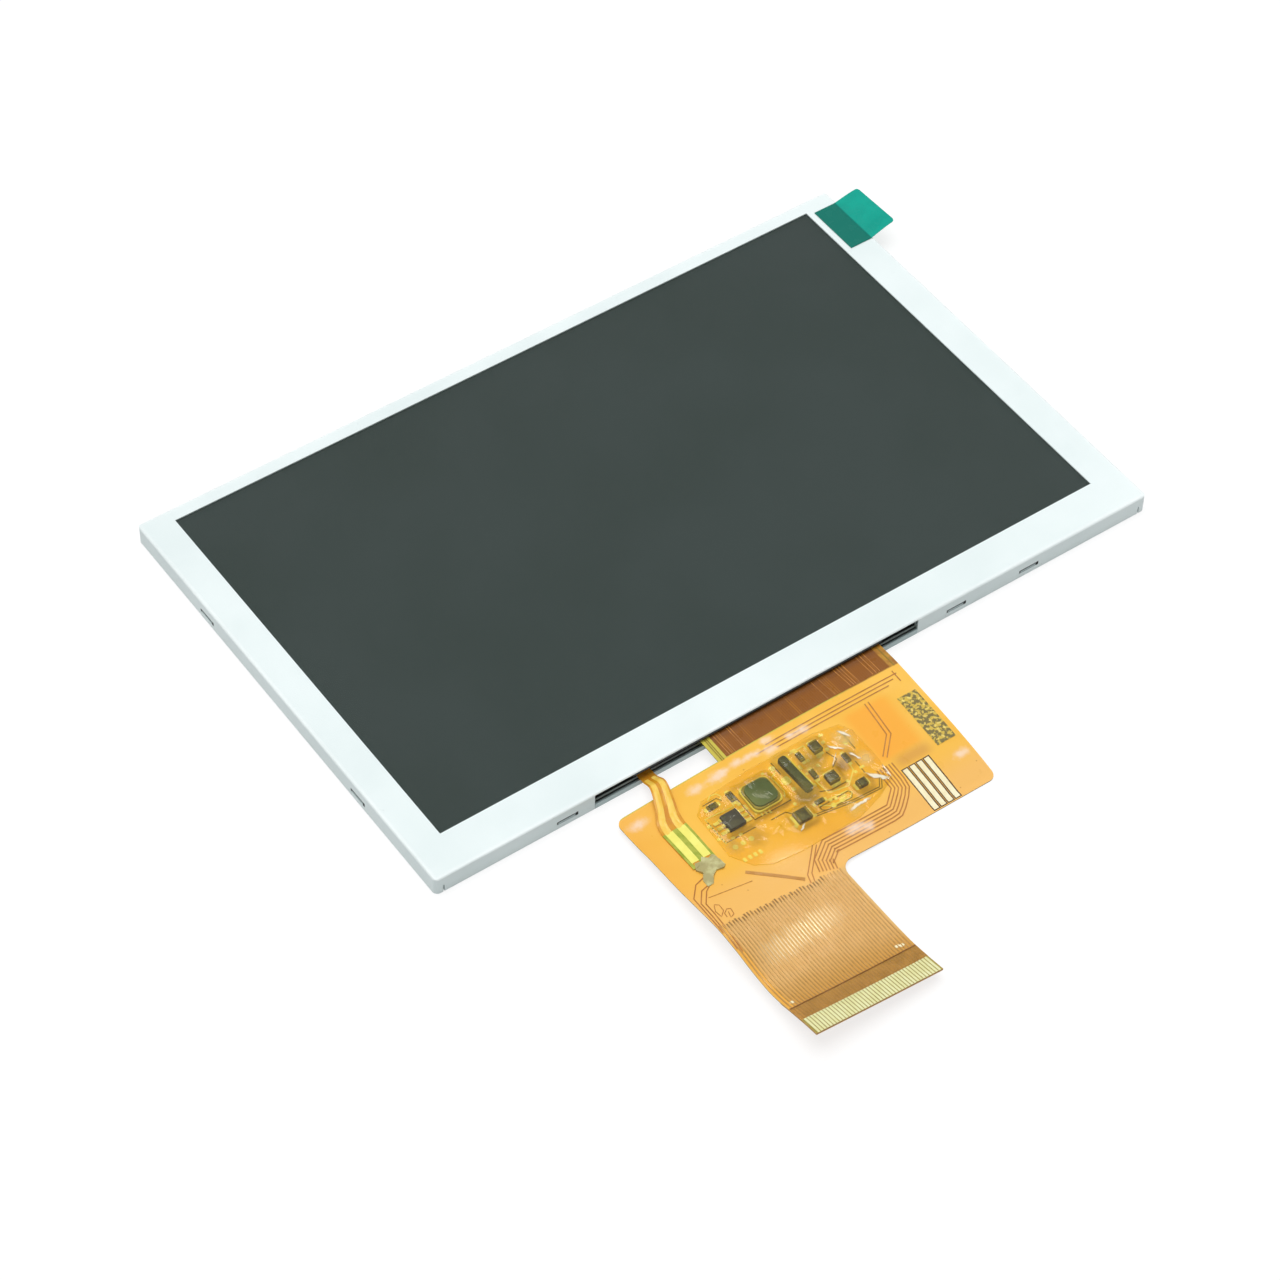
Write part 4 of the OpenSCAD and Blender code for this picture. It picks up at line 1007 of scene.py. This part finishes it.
# Painted highlight streaks on the tape, bright and scattering: ends and half width
TAPE_HIGHLIGHT_STREAKS = [((-4.6, 10.1), (-2.3, 12.2), 0.22), ((0.5, 16.2), (0.3, 19.2), 0.3), ((-3, 16.3), (0.2, 19.2),
    0.4), ((-2.6, 12.6), (-1.4, 14.6), 0.25), ((-5.8, 13.6), (-3.7, 11.6), 0.1), ((-1.8, 8.8), (-0.4, 11),
    0.3), ((-15.6, 19.4), (-14.2, 19), 0.12), ((-8.4, 20.2), (-3.6, 19.9), 0.3)]
# Patches where the tape turns pale or dark olive and scatters more: (x, out, radius, strength, colour)
TAPE_CLOUDS = [(-1.6, 10.6, 2.4, 0.4, "#f0e296"), (-1, 14.6, 1.8, 0.4, "#f6e8a0"),
    (-11.6, 15.4, 2.6, 0.45, "#968a46"), (-7.6, 11.6, 2.8, 0.35, "#9c8e40"),
    (-4.6, 13.8, 1.6, 0.5, "#886830"), (-2.8, 13.2, 1.6, 0.4, "#8c743c"), (-21, 17, 2.6, 0.25, "#a0884c"),
    (-7, 20.3, 2.2, 0.3, "#fae278"), (-24.2, 16.6, 1.8, 0.3, "#c8b460")]
# Folds that stand up most: (x, out, direction in degrees)
TAPE_FOLDS = [(-3.2, 9.4, 20), (-1.6, 15.8, -30), (-2.6, 12, 60), (-12.4, 14.6, 50), (-19.6, 15.4, 75),
    (-21.8, 17.6, 10), (-17.4, 17.2, -20), (-8.6, 19.2, 15), (-24.4, 12.2, 80), (-6.2, 12.2, -40)]


class Drape:
    """Height of the tape over the circuit on a fine lattice: stretched over the parts, and creased."""
    cell = 0.2
    left, near = -26.6, 6.6
    columns, rows = 140, 82

    def __init__(self):
        outs, xs = np.mgrid[0:self.rows, 0:self.columns] * self.cell
        self.xs, self.outs = xs + self.left, outs + self.near
        parts = [(*INDUCTOR, 4.6, 4.6, 1.04), (*CHIP, 2.6, 2.6, 0.86), (*CHIP, 4.2, 2.6, 0.4),
                 (*DIODE, 1.5, 6.5, 0.86)]
        parts += [(*part, 0.76) for part in CAPACITORS] + [(*part, 0.41) for part in RESISTORS]
        heights = np.zeros_like(xs)
        room = 0.15
        for x, out, w, d, h in parts:
            under = (np.abs(self.xs - x) < w / 2 + room) & (np.abs(self.outs - out) < d / 2 + room)
            heights = np.maximum(heights, h * under)
        stretched = self.blur(self.spread(heights, 2), 5)
        close = self.blur(self.spread(heights, 1), 1)
        self.heights = np.maximum(stretched, close) + self.creases()

    @staticmethod
    def spread(field, reach):
        """Each point takes the highest value within reach cells."""
        for axis in (0, 1):
            field = np.max([np.roll(field, k, axis) for k in range(-reach, reach + 1)], axis=0)
        return field

    @staticmethod
    def blur(field, times):
        for axis in (0, 1) * times:
            field = (np.roll(field, 1, axis) + 2 * field + np.roll(field, -1, axis)) / 4
        return field

    def creases(self):
        """Folds where the tape was pressed down round the parts."""
        rng = Random(23)
        folds = np.zeros_like(self.xs)
        others = [(rng.uniform(-25, 0), rng.uniform(8, 20), rng.uniform(0, 180)) for _ in range(26)]
        for x, out, turn in TAPE_FOLDS + others:
            c, s = cos(radians(turn)), sin(radians(turn))
            lengthwise = (self.xs - x) * c + (self.outs - out) * s
            across = (self.outs - out) * c - (self.xs - x) * s + 0.12 * np.sin(2.2 * lengthwise)
            reach, width = rng.uniform(0.8, 2.2), rng.uniform(0.16, 0.34)
            ridge = np.exp(-(across / width) ** 2) * np.exp(-(lengthwise / reach) ** 4)
            folds += rng.uniform(0.06, 0.2) * ridge
        return folds

    def __call__(self, x, out):
        column = min(max((x - self.left) / self.cell, 0), self.columns - 2)
        row = min(max((out - self.near) / self.cell, 0), self.rows - 2)
        i, j = int(row), int(column)
        u, v = row - i, column - j
        first, second = ((1 - v) * h[j] + v * h[j + 1] for h in (self.heights[i], self.heights[i + 1]))
        return (1 - u) * first + u * second


drape = Drape()
amber, tint = "#ecce68", (0.99, 0.98, 0.74, 1)
piece("amber_tape",
      clear_film("amber_tape", amber, tint, 0.03, 0.8, 0.1, 0.03, TAPE_HIGHLIGHT_STREAKS, TAPE_CLOUDS),
      "component_tape",
      [(sheet, TAPE_OUTLINE, lambda x, out: flex_top(x, out) + 0.07 + drape(x, out),
        lambda x, out: flex_top(x, out) + 0.11 + drape(x, out), 0.2)],
      clear_film("amber_tape_edge", "#ce9630", tint, 0.6), clear_film("amber_tape_under", amber, tint, 0.01))

# ---- clear film over the bezel and the panel, with a hair of air under it
low, high = node_box("protective_film")
stuck_z = high.z
piece("cover_film",
      clear_film("clear_cover_film", "#f6fefd", (0.99, 0.995, 0.995, 1), 0.004), "protective_film",
      [(sheet, rectangle(low.x, high.x, LOWER_EDGE - high.y, LOWER_EDGE - low.y), level(low.z + 0.008),
        level(high.z), 200.0)])

# ---- its pull tab of teal tape, stuck to it and then curling up past its edge
low, high = node_box("pull_tab")
stuck_end, thick, fall, corner, count = low.x + 3.7, 0.06, 0.5, 0.5, 60
rings = []
for k in range(count + 1):
    x = low.x + (high.x - low.x) * k / count
    past = max(0.0, x - (high.x - corner))
    trim = corner - sqrt(max(0.0, corner ** 2 - past ** 2))
    u = max(0.0, (x - stuck_end) / (high.x - stuck_end))
    near_z = stuck_z + (high.z - thick - stuck_z) * (1.45 * u - 0.45 * u ** 2) ** 1.15
    near, back = (low.y + trim, near_z), (high.y - trim, near_z - fall * u)
    rings.append([Vector((x, y, z + lift)) * MM
                  for (y, z), lift in ((near, 0), (back, 0), (back, thick), (near, thick))])
teal = Look("teal_film", "#1a9682", 0.22, specular=0.12)
x = teal.axis("X")
drift = teal.vary("#14ac98", "#0aa08e", 3)
shade = teal.mix(teal.ramp(x, stuck_end - 0.1, stuck_end + 0.25, 1, 0), drift, "#087668")
crease = teal.times(teal.band(x, stuck_end - 0.05, stuck_end + 0.2, 0.1), 0.5)
teal.paint(teal.mix(crease, shade, "#045c54"))
teal.gloss(1.5, 0.18, 0.3)
teal.grain(2.5, 0.03)
piece("teal_pull_tab", teal.material, "pull_tab", [(tube, rings)])
